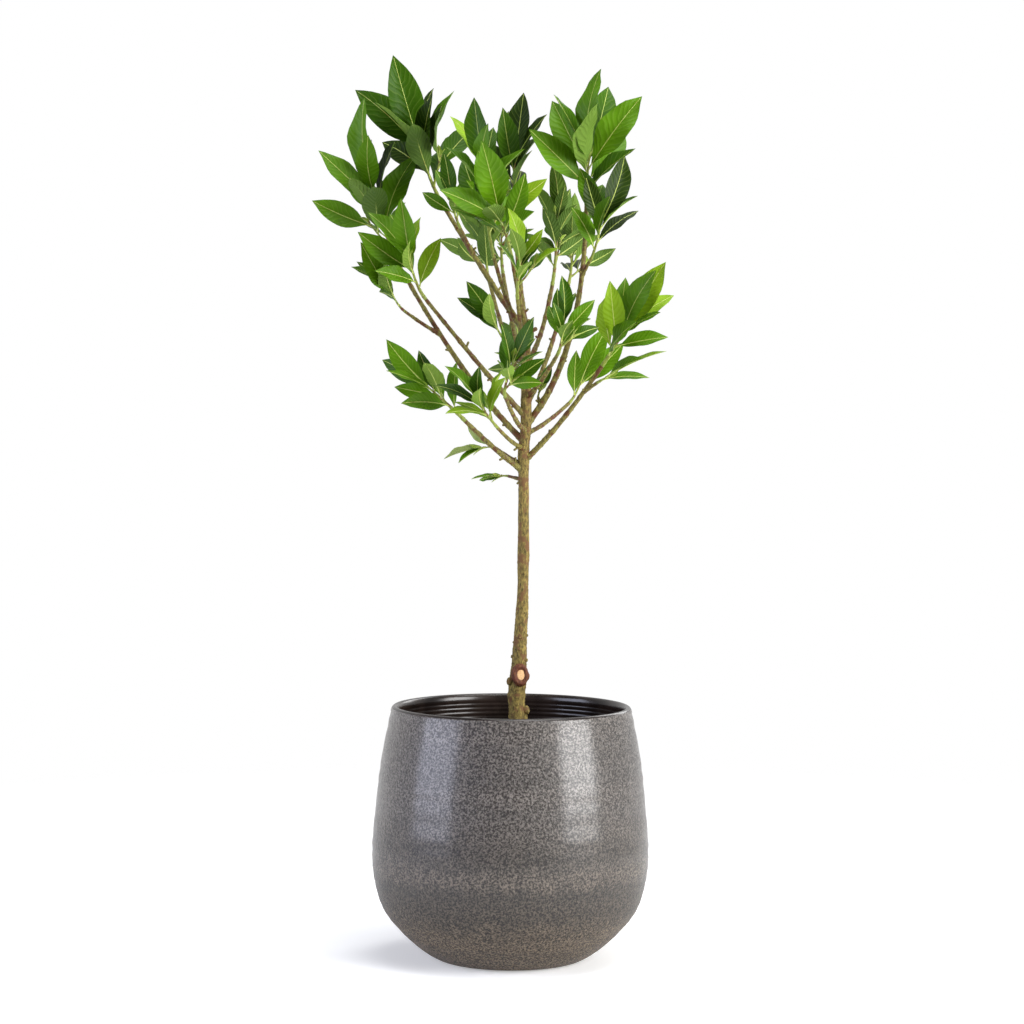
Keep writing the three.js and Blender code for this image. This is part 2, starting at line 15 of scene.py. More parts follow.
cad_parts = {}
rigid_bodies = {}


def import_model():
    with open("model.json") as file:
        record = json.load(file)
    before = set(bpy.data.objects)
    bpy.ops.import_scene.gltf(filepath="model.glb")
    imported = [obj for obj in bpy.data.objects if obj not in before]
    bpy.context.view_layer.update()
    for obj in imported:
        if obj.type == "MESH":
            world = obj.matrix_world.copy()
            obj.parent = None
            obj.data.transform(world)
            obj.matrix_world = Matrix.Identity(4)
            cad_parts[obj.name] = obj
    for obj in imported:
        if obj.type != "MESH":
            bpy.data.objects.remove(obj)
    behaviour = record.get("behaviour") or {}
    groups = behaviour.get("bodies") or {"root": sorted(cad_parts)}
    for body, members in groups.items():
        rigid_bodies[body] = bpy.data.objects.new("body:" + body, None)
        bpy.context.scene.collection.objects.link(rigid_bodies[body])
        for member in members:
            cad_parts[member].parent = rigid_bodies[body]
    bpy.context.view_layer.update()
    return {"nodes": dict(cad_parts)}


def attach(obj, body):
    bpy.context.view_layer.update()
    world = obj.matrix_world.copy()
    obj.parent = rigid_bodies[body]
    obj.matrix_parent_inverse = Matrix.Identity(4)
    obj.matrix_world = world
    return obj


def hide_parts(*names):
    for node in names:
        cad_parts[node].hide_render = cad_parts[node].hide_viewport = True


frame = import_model()

MM = 0.001
BODY = "root"

# ---- The plant's own sizes, in millimetres and degrees -------------------------------------------

GAP = 0.3  # clearance between neighbouring solids

# Pot: outer radius and height, from the foot to just below the lip.
POT_PROFILE = (
    (76, 0), (87, 6), (100, 16), (114.5, 30), (130, 50), (139, 78), (141.7, 112), (137.7, 160), (132.4, 205),
    (123.6, 250),
)
POT_WALL = 8.5
POT_FLOOR = 12
POT_INNER_CORNER = 24
SOIL_EDGE = 209
SOIL_TOP = 214
SOIL_MOUND = (28, 84)

# Trunk: height, distance to the right of the pot's axis, and radius.
TRUNK_STATIONS = (
    (214.3, 9.5, 13), (228, 8.6, 10.4), (246, 6.8, 9.6), (262, 5.1, 8.5), (274, 5.6, 9.1),
    (290, 7.2, 8.7), (306, 7.7, 7.7), (328, 8.8, 7), (365, 10.5, 6), (406, 10.9, 5.9),
    (488, 10.6, 5.7), (518, 10.3, 6.1), (550, 12.6, 5.7), (610, 12.2, 5.1), (648, 11.5, 4.2),
)
LEADER_STUBS = ((636, 25, 20, 13), (641, 70, 35, 12), (628, 150, 30, 9))
STUB_RADII = (2.6, 1.9)

# Directions are given as the plant is seen from the front: "clock" is the angle from +X towards +Z, and
# "toward" is the angle out of that plane towards -Y. A limb's "at" is a height on the trunk or a share of
# its parent's length. "tones" are the letters of the greens that a spray's leaves are dealt.
# Tone "d", the deep greens, is painted shade, given to the sprays that sit in shadow at the back of the
# crown.
Limb = namedtuple("Limb", "name parent at aim length bow girth spray tones")
Spray = namedtuple("Spray", "aim length twigs leaves blade turn seed")

LIMBS = (
    Limb("low_left", "trunk", 494, (140, 15), 80, 0.05, (6.2, 4.4),
         Spray((138, 12), 50, 0, 8, 56, 100, 29), "llg"),
    Limb("low_left_inner", "trunk", 520, (142, 57), 62, 0.08, (5, 3.4),
         Spray((128, 34), 34, 1, 7, 46, 330, 30), "gly"),
    Limb("low_under", "trunk", 500, (150, -42), 42, 0.05, (4.4, 3),
         Spray((176, -22), 14, 0, 2, 38, 80, 31), "lp"),
    Limb("low_twig", "trunk", 488, (168, -30), 18, 0.02, (4.2, 3),
         Spray((178, -10), 6, 0, 1, 28, 0, 36), "l"),
    Limb("left_long", "trunk", 528, (126, -3), 215, 0.07, (6.6, 4.2),
         Spray((110, 3), 84, 1, 9, 82, 150, 12), "llgd"),
    Limb("left_fork", "left_long", 0.71, (148, 19), 44, 0.04, (4.2, 3.2),
         Spray((128, 22), 20, 0, 4, 60, 200, 13), "lg"),
    Limb("left_inner", "trunk", 552, (131, 15), 160, 0.02, (6, 3.8),
         Spray((112, 20), 44, 0, 8, 58, 90, 14), "lly"),
    Limb("upper_left", "trunk", 636, (123, -9), 162, 0.02, (7, 4.4),
         Spray((112, 2), 60, 1, 9, 84, 40, 11), "lgd"),
    Limb("upper_spur", "upper_left", 0.68, (118, 44), 38, 0.02, (4.6, 3.4),
         Spray((110, 18), 26, 0, 6, 44, 20, 15), "lg"),
    Limb("centre_left", "upper_left", 0.17, (110, 35), 74, 0.08, (5, 3.8),
         Spray((97, 10), 88, 1, 8, 62, 60, 16), "glyl"),
    Limb("centre_stub", "trunk", 616, (150, 50), 40, 0.06, (4.6, 3.2),
         Spray((124, 22), 16, 0, 3, 46, 0, 17), "gl"),
    Limb("centre", "trunk", 640, (102, 33), 82, 0.03, (5.4, 4),
         Spray((108, 34), 54, 0, 6, 76, 140, 18), "llg"),
    Limb("centre_top", "trunk", 644, (97, -13), 104, 0.02, (5.4, 3.8),
         Spray((90, -4), 70, 1, 8, 62, 230, 19), "gd"),
    Limb("front_high", "trunk", 598, (98, 52), 112, 0.08, (5.6, 3.8),
         Spray((84, 20), 46, 1, 8, 44, 10, 20), "lgy"),
    Limb("front_low", "trunk", 540, (122, 66), 95, 0.1, (5.6, 3.6),
         Spray((78, 24), 36, 1, 6, 44, 70, 21), "gl"),
    Limb("right_centre", "trunk", 606, (72, -34), 104, 0.17, (5.8, 4.2),
         Spray((86, -8), 70, 1, 8, 52, 300, 22), "gd"),
    Limb("right_long", "trunk", 545, (75, -2), 232, 0.17, (7, 4.4),
         Spray((88, 4), 46, 0, 9, 80, 120, 23), "lgg"),
    Limb("right_fork", "right_long", 0.76, (60, 42), 20, 0.02, (4.2, 3.2),
         Spray((74, 10), 42, 0, 7, 62, 260, 24), "lgd"),
    Limb("right_spur", "right_long", 0.14, (110, -40), 10, 0, (3.6, 2.8),
         Spray((80, -15), 6, 0, 1, 28, 0, 37), "g"),
    Limb("right_front", "trunk", 573, (54, 50), 80, 0.08, (5.4, 3.8),
         Spray((80, 12), 30, 1, 7, 42, 30, 25), "gl"),
    Limb("far_right", "trunk", 504, (51, 9), 126, 0.06, (6.4, 4.2),
         Spray((58, 8), 42, 0, 9, 70, 170, 26), "lly"),
    Limb("far_right_fork", "far_right", 0.8, (34, 50), 24, 0, (4.2, 3.4),
         Spray((30, 22), 12, 0, 2, 56, 40, 27), "ly"),
    Limb("low_right", "trunk", 537, (35, -42), 74, 0.08, (5.2, 3.6),
         Spray((60, -20), 26, 0, 3, 56, 220, 28), "ly"),
    Limb("back_low", "trunk", 548, (92, -57), 84, 0.08, (5.4, 3.6),
         Spray((100, -30), 34, 1, 6, 38, 250, 32), "dg"),
    Limb("back_high", "trunk", 596, (103, -46), 158, 0.1, (6, 4),
         Spray((92, -20), 60, 2, 8, 54, 290, 33), "dg"),
    Limb("back_left", "trunk", 580, (109, -38), 150, 0.08, (5.8, 3.8),
         Spray((98, -16), 48, 1, 7, 52, 180, 34), "dg"),
    Limb("back_right", "trunk", 566, (71, -40), 178, 0.1, (6, 3.8),
         Spray((84, -16), 46, 2, 7, 50, 350, 35), "dg"),
)

LIMB_ELBOW = 0.35
STEM_ELBOW = 0.4
STEM_TIP_SHARE = 0.42
TWIG_SHARE = 0.42
TWIG_SHORTEST = 14
TWIG_SPREAD = 42
TWIG_LIFT = 0.2
TWIG_GIRTH = 0.72
TWIG_TAPER = 0.4
TWIG_TURN = 70
TWIG_LEAVES = 2
TWIG_BLADE = 0.86
SPIRAL = 137.5
SPIRAL_FOOT = 0.1
LEAF_LAST = 0.99
SPIRAL_JITTER = 16
LEAF_SPREAD = (64, 28)
TIP_SPREAD = 8
LEAF_SPREAD_JITTER = 12
LEAF_LENGTHS = (0.78, 1.18)
LEAF_ARCH = (0.02, 0.1)
LEAF_TWIST = 42
LEAF_WIDTH = 0.37
LEAF_SWINGS = (0, 20, -20, 40, -40, 65, -65, 95, -95)
LIGHT = (-0.1, 0.8, 0.6)
STEM_PULL = 0.35
BACK_FROM = 50
TIP_WITHIN = 0.4  # how near a solid's corner is to the tip of a leaf that it holds


# ---- The rule by which the plant grows -----------------------------------------------------------

def vector(*parts):
    return np.array(parts, float)


def unit(v):
    return v / np.linalg.norm(v)


def between(pair, share):
    return pair[0] + (pair[1] - pair[0]) * share


def direction(clock, toward):
    clock, toward = math.radians(clock), math.radians(toward)
    across = math.cos(toward)
    return vector(across * math.cos(clock), -math.sin(toward), across * math.sin(clock))


def square_to(axis, v):
    return unit(v - axis * np.dot(v, axis))


def side_axes(along):
    reference = vector(1, 0, 0) if abs(along[1]) > 0.9 else vector(0, 1, 0)
    u = square_to(along, reference)
    return u, np.cross(u, along)


def turned_about(axis, v, angle):
    across = np.cross(axis, v)
    return v * math.cos(angle) + across * math.sin(angle) + axis * np.dot(axis, v) * (1 - math.cos(angle))


def random_from(seed):
    """The same run of numbers as the solids' own generator gives for this seed."""
    whole = 0xFFFFFFFF
    state = seed

    def draw():
        nonlocal state
        state = (state + 0x6D2B79F5) & whole
        t = ((state ^ (state >> 15)) * (1 | state)) & whole
        t = ((t + (((t ^ (t >> 7)) * (61 | t)) & whole)) ^ t) & whole
        return ((t ^ (t >> 14)) & whole) / 4294967296

    return draw


class Path:
    """A line through the plant, from foot to tip."""

    def __init__(self, point):
        self.point = point

    def tangent(self, share):
        low, high = max(share - 1e-4, 0), min(share + 1e-4, 1)
        return unit(self.point(high) - self.point(low))


def bow_path(foot, elbow, tip):
    return Path(lambda t: foot * (1 - t) ** 2 + elbow * 2 * t * (1 - t) + tip * t * t)


TRUNK_POINTS = [vector(right, 0, height) for height, right, _ in TRUNK_STATIONS]
TRUNK_STRETCHES = len(TRUNK_STATIONS) - 1


def trunk_point(share):
    """A smooth line through the stations, each stretch with an equal share."""
    stretch = min(int(share * TRUNK_STRETCHES), TRUNK_STRETCHES - 1)
    t = share * TRUNK_STRETCHES - stretch
    b, c = TRUNK_POINTS[stretch], TRUNK_POINTS[stretch + 1]
    a = TRUNK_POINTS[stretch - 1] if stretch else 2 * b - c
    d = TRUNK_POINTS[stretch + 2] if stretch + 2 <= TRUNK_STRETCHES else 2 * c - b
    leaving, arriving = (c - a) / 2, (d - b) / 2
    return (
        b
        + leaving * t
        + (3 * (c - b) - 2 * leaving - arriving) * t**2
        + (2 * (b - c) + leaving + arriving) * t**3
    )


def trunk_share(height):
    for stretch in range(TRUNK_STRETCHES):
        low, high = TRUNK_STATIONS[stretch][0], TRUNK_STATIONS[stretch + 1][0]
        if high > height:
            return (stretch + (height - low) / (high - low)) / TRUNK_STRETCHES
    return 1.0


def trunk_radius(share):
    stretch = min(int(share * TRUNK_STRETCHES), TRUNK_STRETCHES - 1)
    radii = (TRUNK_STATIONS[stretch][2], TRUNK_STATIONS[stretch + 1][2])
    return between(radii, share * TRUNK_STRETCHES - stretch)


paths = {"trunk": Path(trunk_point)}

for limb in LIMBS:
    foot = paths[limb.parent].point(trunk_share(limb.at) if limb.parent == "trunk" else limb.at)
    chord = direction(*limb.aim)
    sag = square_to(chord, vector(0, 0, -1))
    elbow = foot + chord * limb.length * LIMB_ELBOW + sag * limb.length * limb.bow
    paths[limb.name] = bow_path(foot, elbow, foot + chord * limb.length)


def leaning(stem, spread, turn):
    u, v = side_axes(stem)
    return stem * math.cos(spread) + (u * math.cos(turn) + v * math.sin(turn)) * math.sin(spread)


def stem_path(limb):
    along = paths[limb.name].tangent(1)
    start = paths[limb.name].point(1) + along * GAP
    elbow = start + along * limb.spray.length * STEM_ELBOW
    return bow_path(start, elbow, start + direction(*limb.spray.aim) * limb.spray.length)


def spiral_leaves(path, count, turn, blade, random):
    leaves = []
    for i in range(count):
        share = SPIRAL_FOOT + (1 - SPIRAL_FOOT) * math.sqrt((i + 0.6) / count)
        leaves.append(dict(
            path=path,
            share=min(share, LEAF_LAST),
            spread=math.radians(between(LEAF_SPREAD, share) + LEAF_SPREAD_JITTER * (random() - 0.5)),
            turn=math.radians(turn + SPIRAL * i + SPIRAL_JITTER * (random() - 0.5)),
            length=blade * between(LEAF_LENGTHS, random()),
            twist=math.radians(LEAF_TWIST * (2 * random() - 1)),
            arch=between(LEAF_ARCH, random()),
            tone="",
        ))
    return leaves


def tip_leaf(path, blade, random):
    """The leaf that ends a stem and carries on its heading."""
    return dict(
        path=path,
        share=LEAF_LAST,
        spread=math.radians(TIP_SPREAD),
        turn=2 * math.pi * random(),
        length=blade * LEAF_LENGTHS[1],
        twist=math.radians(LEAF_TWIST * (2 * random() - 1)),
        arch=between(LEAF_ARCH, random()),
        tone="",
    )


def side_twigs(path, spray, radius_at, random):
    twigs = []
    for i in range(spray.twigs):
        share = (i + 0.7) / (spray.twigs + 0.9)
        turn = math.radians(spray.turn + TWIG_TURN + SPIRAL * i)
        along = leaning(path.tangent(share), math.radians(TWIG_SPREAD), turn)
        length = max(TWIG_SHORTEST, spray.length * TWIG_SHARE * (0.8 + 0.4 * random()))
        foot = path.point(share)
        tip = foot + along * length + vector(0, 0, length * TWIG_LIFT)
        twig = bow_path(foot, foot + along * length / 2, tip)
        leaves = spiral_leaves(twig, TWIG_LEAVES, spray.turn + 90 * i, spray.blade * TWIG_BLADE, random)
        twigs.append((twig, radius_at(share) * TWIG_GIRTH, leaves))
    return twigs


def placed_leaf(leaf, swing, light):
    """A leaf's root and axes, swung round its stem by some degrees."""
    stem = leaf["path"].tangent(leaf["share"])
    along = leaning(stem, leaf["spread"], leaf["turn"] + math.radians(swing))
    face = turned_about(along, square_to(along, light + STEM_PULL * stem), leaf["twist"])
    return Leaf(leaf["path"].point(leaf["share"]), along, face, leaf["length"], leaf["arch"], leaf["tone"])


Leaf = namedtuple("Leaf", "root along face length arch tone")
Twig = namedtuple("Twig", "path radii")  # radii at foot and tip


def corners_of(node):
    """A finder of the nearest corner of a node's solid, in millimetres."""
    points = [corner.co / MM for corner in frame["nodes"][node].data.vertices]
    tree = kdtree.KDTree(len(points))
    for i, point in enumerate(points):
        tree.insert(point, i)
    tree.balance()
    return lambda place: tree.find(Vector(place))[2]


def grow_spray(limb):
    """The twigs and leaves that a spray's solid holds: each leaf takes the swing whose tip is there."""
    random = random_from(limb.spray.seed)
    path = stem_path(limb)
    foot_radius = limb.girth[1] / 2
    radius_at = lambda share: foot_radius * between((1, STEM_TIP_SHARE), share)
    leaves = [tip_leaf(path, limb.spray.blade, random)]
    leaves += spiral_leaves(path, limb.spray.leaves, limb.spray.turn, limb.spray.blade, random)
    twigs = [Twig(path, (foot_radius, foot_radius * STEM_TIP_SHARE))]
    off_solid = corners_of(f"foliage_{limb.name}")
    for twig, radius, twig_leaves in side_twigs(path, limb.spray, radius_at, random):
        if off_solid(twig.point(1)) < 2 * radius:
            twigs.append(Twig(twig, (radius, radius * (1 - TWIG_TAPER))))
            leaves += twig_leaves
    outward = -LIGHT[1] if path.point(0)[1] < BACK_FROM else LIGHT[1]
    light = vector(LIGHT[0], outward, LIGHT[2])
    kept = []
    for leaf in leaves:
        for swing in LEAF_SWINGS:
            placed = placed_leaf(leaf, swing, light)
            if off_solid(placed.root + placed.along * placed.length) < TIP_WITHIN:
                kept.append(placed)
                break
    return twigs, kept


# ---- Small tools ---------------------------------------------------------------------------------

def shade(hex_colour):
    """An sRGB hex colour as linear RGBA."""
    parts = [int(hex_colour[i:i + 2], 16) / 255 for i in (1, 3, 5)]
    return (*[c / 12.92 if c <= 0.04045 else ((c + 0.055) / 1.055) ** 2.4 for c in parts], 1)


def add(tree, kind, inputs=(), **settings):
    """Adds a node. `settings` are its own; `inputs` gives sockets, by name or number, a link or a value."""
    made = tree.nodes.new(kind)
    for name, value in settings.items():
        setattr(made, name, value)
    for key, value in dict(inputs).items():
        if isinstance(value, bpy.types.NodeSocket):
            tree.links.new(value, made.inputs[key])
        else:
            made.inputs[key].default_value = value
    return made


def pattern(tree, place, scale, detail, roughness=0.5):
    """A node of soft noise from 0 to 1."""
    looks = {"Vector": place, "Scale": scale, "Detail": detail, "Roughness": roughness}
    return add(tree, "ShaderNodeTexNoise", looks)


def sums(tree, operation, *values):
    return add(tree, "ShaderNodeMath", dict(enumerate(values)), operation=operation).outputs[0]


def mixed(tree, share, low, high, **settings):
    """Two colours mixed by a share."""
    return add(tree, "ShaderNodeMix", {0: share, 6: low, 7: high}, data_type="RGBA", **settings).outputs[2]


def carried(tree, name, kind):
    """What the points or faces carry under this name."""
    return add(tree, "GeometryNodeInputNamedAttribute", {"Name": name}, data_type=kind).outputs[0]


def ramp(tree, value, *stops):
    """A value turned to grey through (place, grey) stops."""
    made = add(tree, "ShaderNodeValToRGB", {0: value})
    while len(made.color_ramp.elements) < len(stops):
        made.color_ramp.elements.new(0.5)
    for element, (place, grey) in zip(made.color_ramp.elements, stops):
        element.position = place
        element.color = (grey, grey, grey, 1)
    return made.outputs["Color"]


def per(size_mm):
    """The scale of a pattern on coordinates in metres whose features are this many millimetres wide."""
    return 1000 / size_mm


def keep(name, mesh, slot, *nodes, smooth=True):
    """A finished piece: its place is in its mesh, and it stands for these nodes of the model."""
    piece = bpy.data.objects.new(name, mesh)
    bpy.context.scene.collection.objects.link(piece)
    mesh.name = name
    if smooth:
        mesh.shade_smooth()
    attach(piece, BODY)
    if nodes:
        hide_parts(*nodes)
    return piece


def grown(seedling, tree, **sizes):
    """The plain mesh that a geometry tree makes of a seedling mesh, with its named inputs set."""
    carrier = bpy.data.objects.new("seedling", seedling)
    bpy.context.scene.collection.objects.link(carrier)
    modifier = carrier.modifiers.new("grow", "NODES")
    modifier.node_group = tree
    for item in tree.interface.items_tree:
        if item.item_type == "SOCKET" and item.name in sizes:
            modifier[item.identifier] = sizes[item.name]
    carrier.update_tag()
    evaluated = carrier.evaluated_get(bpy.context.evaluated_depsgraph_get())
    mesh = bpy.data.meshes.new_from_object(evaluated)
    bpy.data.objects.remove(carrier)
    return mesh


def geometry_tree(name, **sockets):
    """An empty tree with the named inputs beside its geometry: the tree, its inputs and its last node."""
    tree = bpy.data.node_groups.new(name, "GeometryNodeTree")
    tree.interface.new_socket("Geometry", in_out="INPUT", socket_type="NodeSocketGeometry")
    tree.interface.new_socket("Geometry", in_out="OUTPUT", socket_type="NodeSocketGeometry")
    for label, kind in sockets.items():
        tree.interface.new_socket(label, in_out="INPUT", socket_type=f"NodeSocket{kind}")
    return tree, tree.nodes.new("NodeGroupInput").outputs, tree.nodes.new("NodeGroupOutput")


def seedling_mesh(name, points, edges=(), **attributes):
    """Points, and perhaps edges, that carry named values for a geometry tree to read."""
    mesh = bpy.data.meshes.new(name)
    mesh.from_pydata([tuple(point * MM) for point in points], list(edges), [])
    for label, values in attributes.items():
        kind, field = ("FLOAT_VECTOR", "vector") if np.ndim(values) == 2 else ("FLOAT", "value")
        layer = mesh.attributes.new(label, kind, "POINT")
        layer.data.foreach_set(field, np.asarray(values, float).ravel())
    return mesh


# ---- Geometry trees ------------------------------------------------------------------------------

def round_wood_tree():
    """Round wood along paths: each path's own girth, bark relief in two sizes, capped ends."""
    tree, given, made = geometry_tree(
        "round wood along paths",
        Sides="Int", Lumps="Float", LumpScale="Float", Warts="Float", WartScale="Float", Bark="Material",
    )
    girth = carried(tree, "girth", "FLOAT")
    line = add(tree, "GeometryNodeMeshToCurve", {0: given["Geometry"]})
    ring = add(
        tree, "GeometryNodeCurvePrimitiveCircle", {"Resolution": given["Sides"], "Radius": 1.0},
    )
    skin = add(
        tree, "GeometryNodeCurveToMesh",
        {"Curve": line.outputs[0], "Profile Curve": ring.outputs[0], "Scale": girth, "Fill Caps": True},
    )
    place = add(tree, "GeometryNodeInputPosition").outputs[0]
    squat = add(tree, "ShaderNodeVectorMath", {0: place, 1: (1, 1, 0.45)}, operation="MULTIPLY").outputs[0]
    lumps = pattern(tree, squat, given["LumpScale"], 2.0)
    warts = pattern(tree, place, given["WartScale"], 1.0)
    lump_rise = sums(tree, "SUBTRACT", lumps.outputs[0], 0.5)
    lump_rise = sums(tree, "MULTIPLY", lump_rise, given["Lumps"])
    wart_rise = add(
        tree, "ShaderNodeMapRange", {"Value": warts.outputs[0], "From Min": 0.56, "From Max": 0.72},
    ).outputs[0]
    wart_rise = sums(tree, "MULTIPLY", wart_rise, given["Warts"])
    rise = sums(tree, "ADD", lump_rise, wart_rise)
    rise = sums(tree, "MULTIPLY", rise, girth)
    normal = add(tree, "GeometryNodeInputNormal").outputs[0]
    push = add(tree, "ShaderNodeVectorMath", {0: normal, "Scale": rise}, operation="SCALE").outputs[0]
    moved = add(tree, "GeometryNodeSetPosition", {"Geometry": skin.outputs[0], "Offset": push})
    real = add(tree, "GeometryNodeRealizeInstances", {0: moved.outputs[0]})
    barked = add(
        tree, "GeometryNodeSetMaterial", {"Geometry": real.outputs[0], "Material": given["Bark"]},
    )
    tree.links.new(barked.outputs[0], made.inputs[0])
    return tree


def leaves_tree(shapes):
    """Leaves on their stalks: each point picks a leaf shape, turns it and stretches it to its size."""
    tree, given, made = geometry_tree("leaves on their stalks", Upper="Material", Under="Material")
    library = add(
        tree, "GeometryNodeCollectionInfo",
        {"Collection": shapes, "Separate Children": True, "Reset Children": True},
    )
    shape = carried(tree, "shape", "FLOAT")
    stance = carried(tree, "stance", "FLOAT_VECTOR")
    size = carried(tree, "size", "FLOAT_VECTOR")
    points = add(tree, "GeometryNodeMeshToPoints", {"Mesh": given["Geometry"]})
    turn = add(tree, "FunctionNodeEulerToRotation", {0: stance}).outputs[0]
    placed = add(
        tree, "GeometryNodeInstanceOnPoints",
        {"Points": points.outputs[0], "Instance": library.outputs[0], "Pick Instance": True,
         "Instance Index": shape, "Rotation": turn, "Scale": size},
    )
    real = add(tree, "GeometryNodeRealizeInstances", {0: placed.outputs[0]})
    green = add(
        tree, "GeometryNodeSetMaterial", {"Geometry": real.outputs[0], "Material": given["Upper"]},
    )
    below = carried(tree, "underside", "BOOLEAN")
    pale = add(
        tree, "GeometryNodeSetMaterial",
        {"Geometry": green.outputs[0], "Selection": below, "Material": given["Under"]},
    )
    tree.links.new(pale.outputs[0], made.inputs[0])
    return tree


def crumbs_tree():
    """Crumbs scattered over a surface, each a small rough lump, lying at every angle."""
    tree, given, made = geometry_tree(
        "crumbs over a surface",
        Spacing="Float", Smallest="Float", Largest="Float", Seed="Int", Crumb="Material",
    )
    spots = add(
        tree, "GeometryNodeDistributePointsOnFaces",
        {"Mesh": given["Geometry"], "Distance Min": given["Spacing"],
         "Density Max": 200000.0, "Seed": given["Seed"]},
        distribute_method="POISSON",
    )
    lump = add(tree, "GeometryNodeMeshIcoSphere", {"Radius": 1.0, "Subdivisions": 1})
    turn = add(
        tree, "FunctionNodeRandomValue",
        {0: (0, 0, 0), 1: (math.tau, math.tau, math.tau), "Seed": given["Seed"]},
        data_type="FLOAT_VECTOR",
    ).outputs[0]
    scale = add(
        tree, "FunctionNodeRandomValue",
        {2: given["Smallest"], 3: given["Largest"], "Seed": given["Seed"]},
        data_type="FLOAT",
    ).outputs[1]
    squash = add(
        tree, "ShaderNodeVectorMath", {0: (1, 0.75, 0.55), "Scale": scale}, operation="SCALE",
    ).outputs[0]
    placed = add(
        tree, "GeometryNodeInstanceOnPoints",
        {"Points": spots.outputs[0], "Instance": lump.outputs[0], "Rotation": turn, "Scale": squash},
    )
    real = add(tree, "GeometryNodeRealizeInstances", {0: placed.outputs[0]})
    dark = add(
        tree, "GeometryNodeSetMaterial", {"Geometry": real.outputs[0], "Material": given["Crumb"]},
    )
    tree.links.new(dark.outputs[0], made.inputs[0])
    return tree


# ---- Materials -----------------------------------------------------------------------------------

def finish(name, **settings):
    """A new material with a principled shader, and the Object coordinates for its patterns."""
    material = bpy.data.materials.new(name)
    material.use_nodes = True
    tree = material.node_tree
    shader = tree.nodes["Principled BSDF"]
    for label, value in settings.items():
        shader.inputs[label.replace("_", " ")].default_value = value
    return material, tree, shader, add(tree, "ShaderNodeTexCoord").outputs["Object"]


POT_HEIGHT = 0.257  # metres
# How much of the glaze's lightness is left at each share of the pot's height.
GLAZE_BANDS = (
    (0, 0.9), (0.16, 0.85), (0.23, 0.42), (0.33, 0.4), (0.38, 0.8), (0.46, 0.5), (0.56, 0.8),
    (0.7, 1), (1, 1),
)


def stoneware_glaze():
    """Thrown stoneware under a semi-gloss glaze: a dark brown-grey ground thickly flecked with paler
    grey where the glaze has crept, darker turned bands low down, and a drier, duller foot."""
    material, tree, shader, place = finish(
        "thrown stoneware, speckled glaze", IOR=1.5, Coat_Roughness=0.2,
    )
    specks = pattern(tree, place, per(2.0), 2.0, 0.75)
    clouds = pattern(tree, place, per(17), 3.0, 0.65)
    flat = add(tree, "ShaderNodeMapping", {"Vector": place, "Scale": (0.05, 0.05, 1)}).outputs[0]
    bands = pattern(tree, flat, per(30), 5.0, 0.7)
    speckle = add(
        tree, "ShaderNodeMapRange", {"Value": specks.outputs[0], "From Min": 0.43, "From Max": 0.61},
    ).outputs[0]
    height = add(tree, "ShaderNodeSeparateXYZ", {0: place}).outputs["Z"]
    low = add(
        tree, "ShaderNodeMapRange",
        {"Value": height, "From Min": 0.04, "From Max": 0.16, "To Min": 1.0, "To Max": 0.0},
    ).outputs[0]
    ground = mixed(tree, clouds.outputs[0], shade("#0f0804"), shade("#20140b"))
    flecks = mixed(tree, low, shade("#706963"), shade("#7c6c58"))
    speckled = mixed(tree, speckle, ground, flecks)
    band = add(
        tree, "ShaderNodeMapRange",
        {"Value": bands.outputs[0], "From Min": 0.36, "From Max": 0.64, "To Min": 0.72, "To Max": 1.12},
    ).outputs[0]
    wander = sums(tree, "MULTIPLY_ADD", clouds.outputs[0], 0.18, -0.09)
    level = sums(tree, "MULTIPLY_ADD", height, 1 / POT_HEIGHT, wander)
    turned = ramp(tree, level, *GLAZE_BANDS)
    broken = mixed(tree, 1.0, speckled, band, blend_type="MULTIPLY")
    toned = mixed(tree, 1.0, broken, turned, blend_type="MULTIPLY")
    tree.links.new(toned, shader.inputs["Base Color"])
    dullness = add(tree, "ShaderNodeMapRange", {"Value": low, "To Min": 0.36, "To Max": 0.7}).outputs[0]
    tree.links.new(dullness, shader.inputs["Roughness"])
    thick = add(tree, "ShaderNodeMapRange", {"Value": low, "To Min": 0.9, "To Max": 0.1}).outputs[0]
    crept = add(tree, "ShaderNodeMapRange", {"Value": speckle, "To Min": 0.6, "To Max": 1.0}).outputs[0]
    coat = sums(tree, "MULTIPLY", thick, crept)
    tree.links.new(coat, shader.inputs["Coat Weight"])
    pitted = pattern(tree, place, per(3.2), 4.0, 0.6)
    bump = add(tree, "ShaderNodeBump", {"Height": pitted.outputs[0], "Strength": 0.9, "Distance": 0.002})
    tree.links.new(bump.outputs[0], shader.inputs["Normal"])
    return material


def inside_glaze():
    """The same clay inside and over the lip, under a thicker, darker, glossier coat."""
    material, tree, shader, place = finish("thrown stoneware, dark liner glaze", Roughness=0.24, IOR=1.5)
    clouds = pattern(tree, place, per(24), 3.0)
    share = add(
        tree, "ShaderNodeMapRange", {"Value": clouds.outputs[0], "From Min": 0.35, "From Max": 0.65},
    ).outputs[0]
    tone = mixed(tree, share, shade("#181210"), shade("#2e2521"))
    tree.links.new(tone, shader.inputs["Base Color"])
    return material


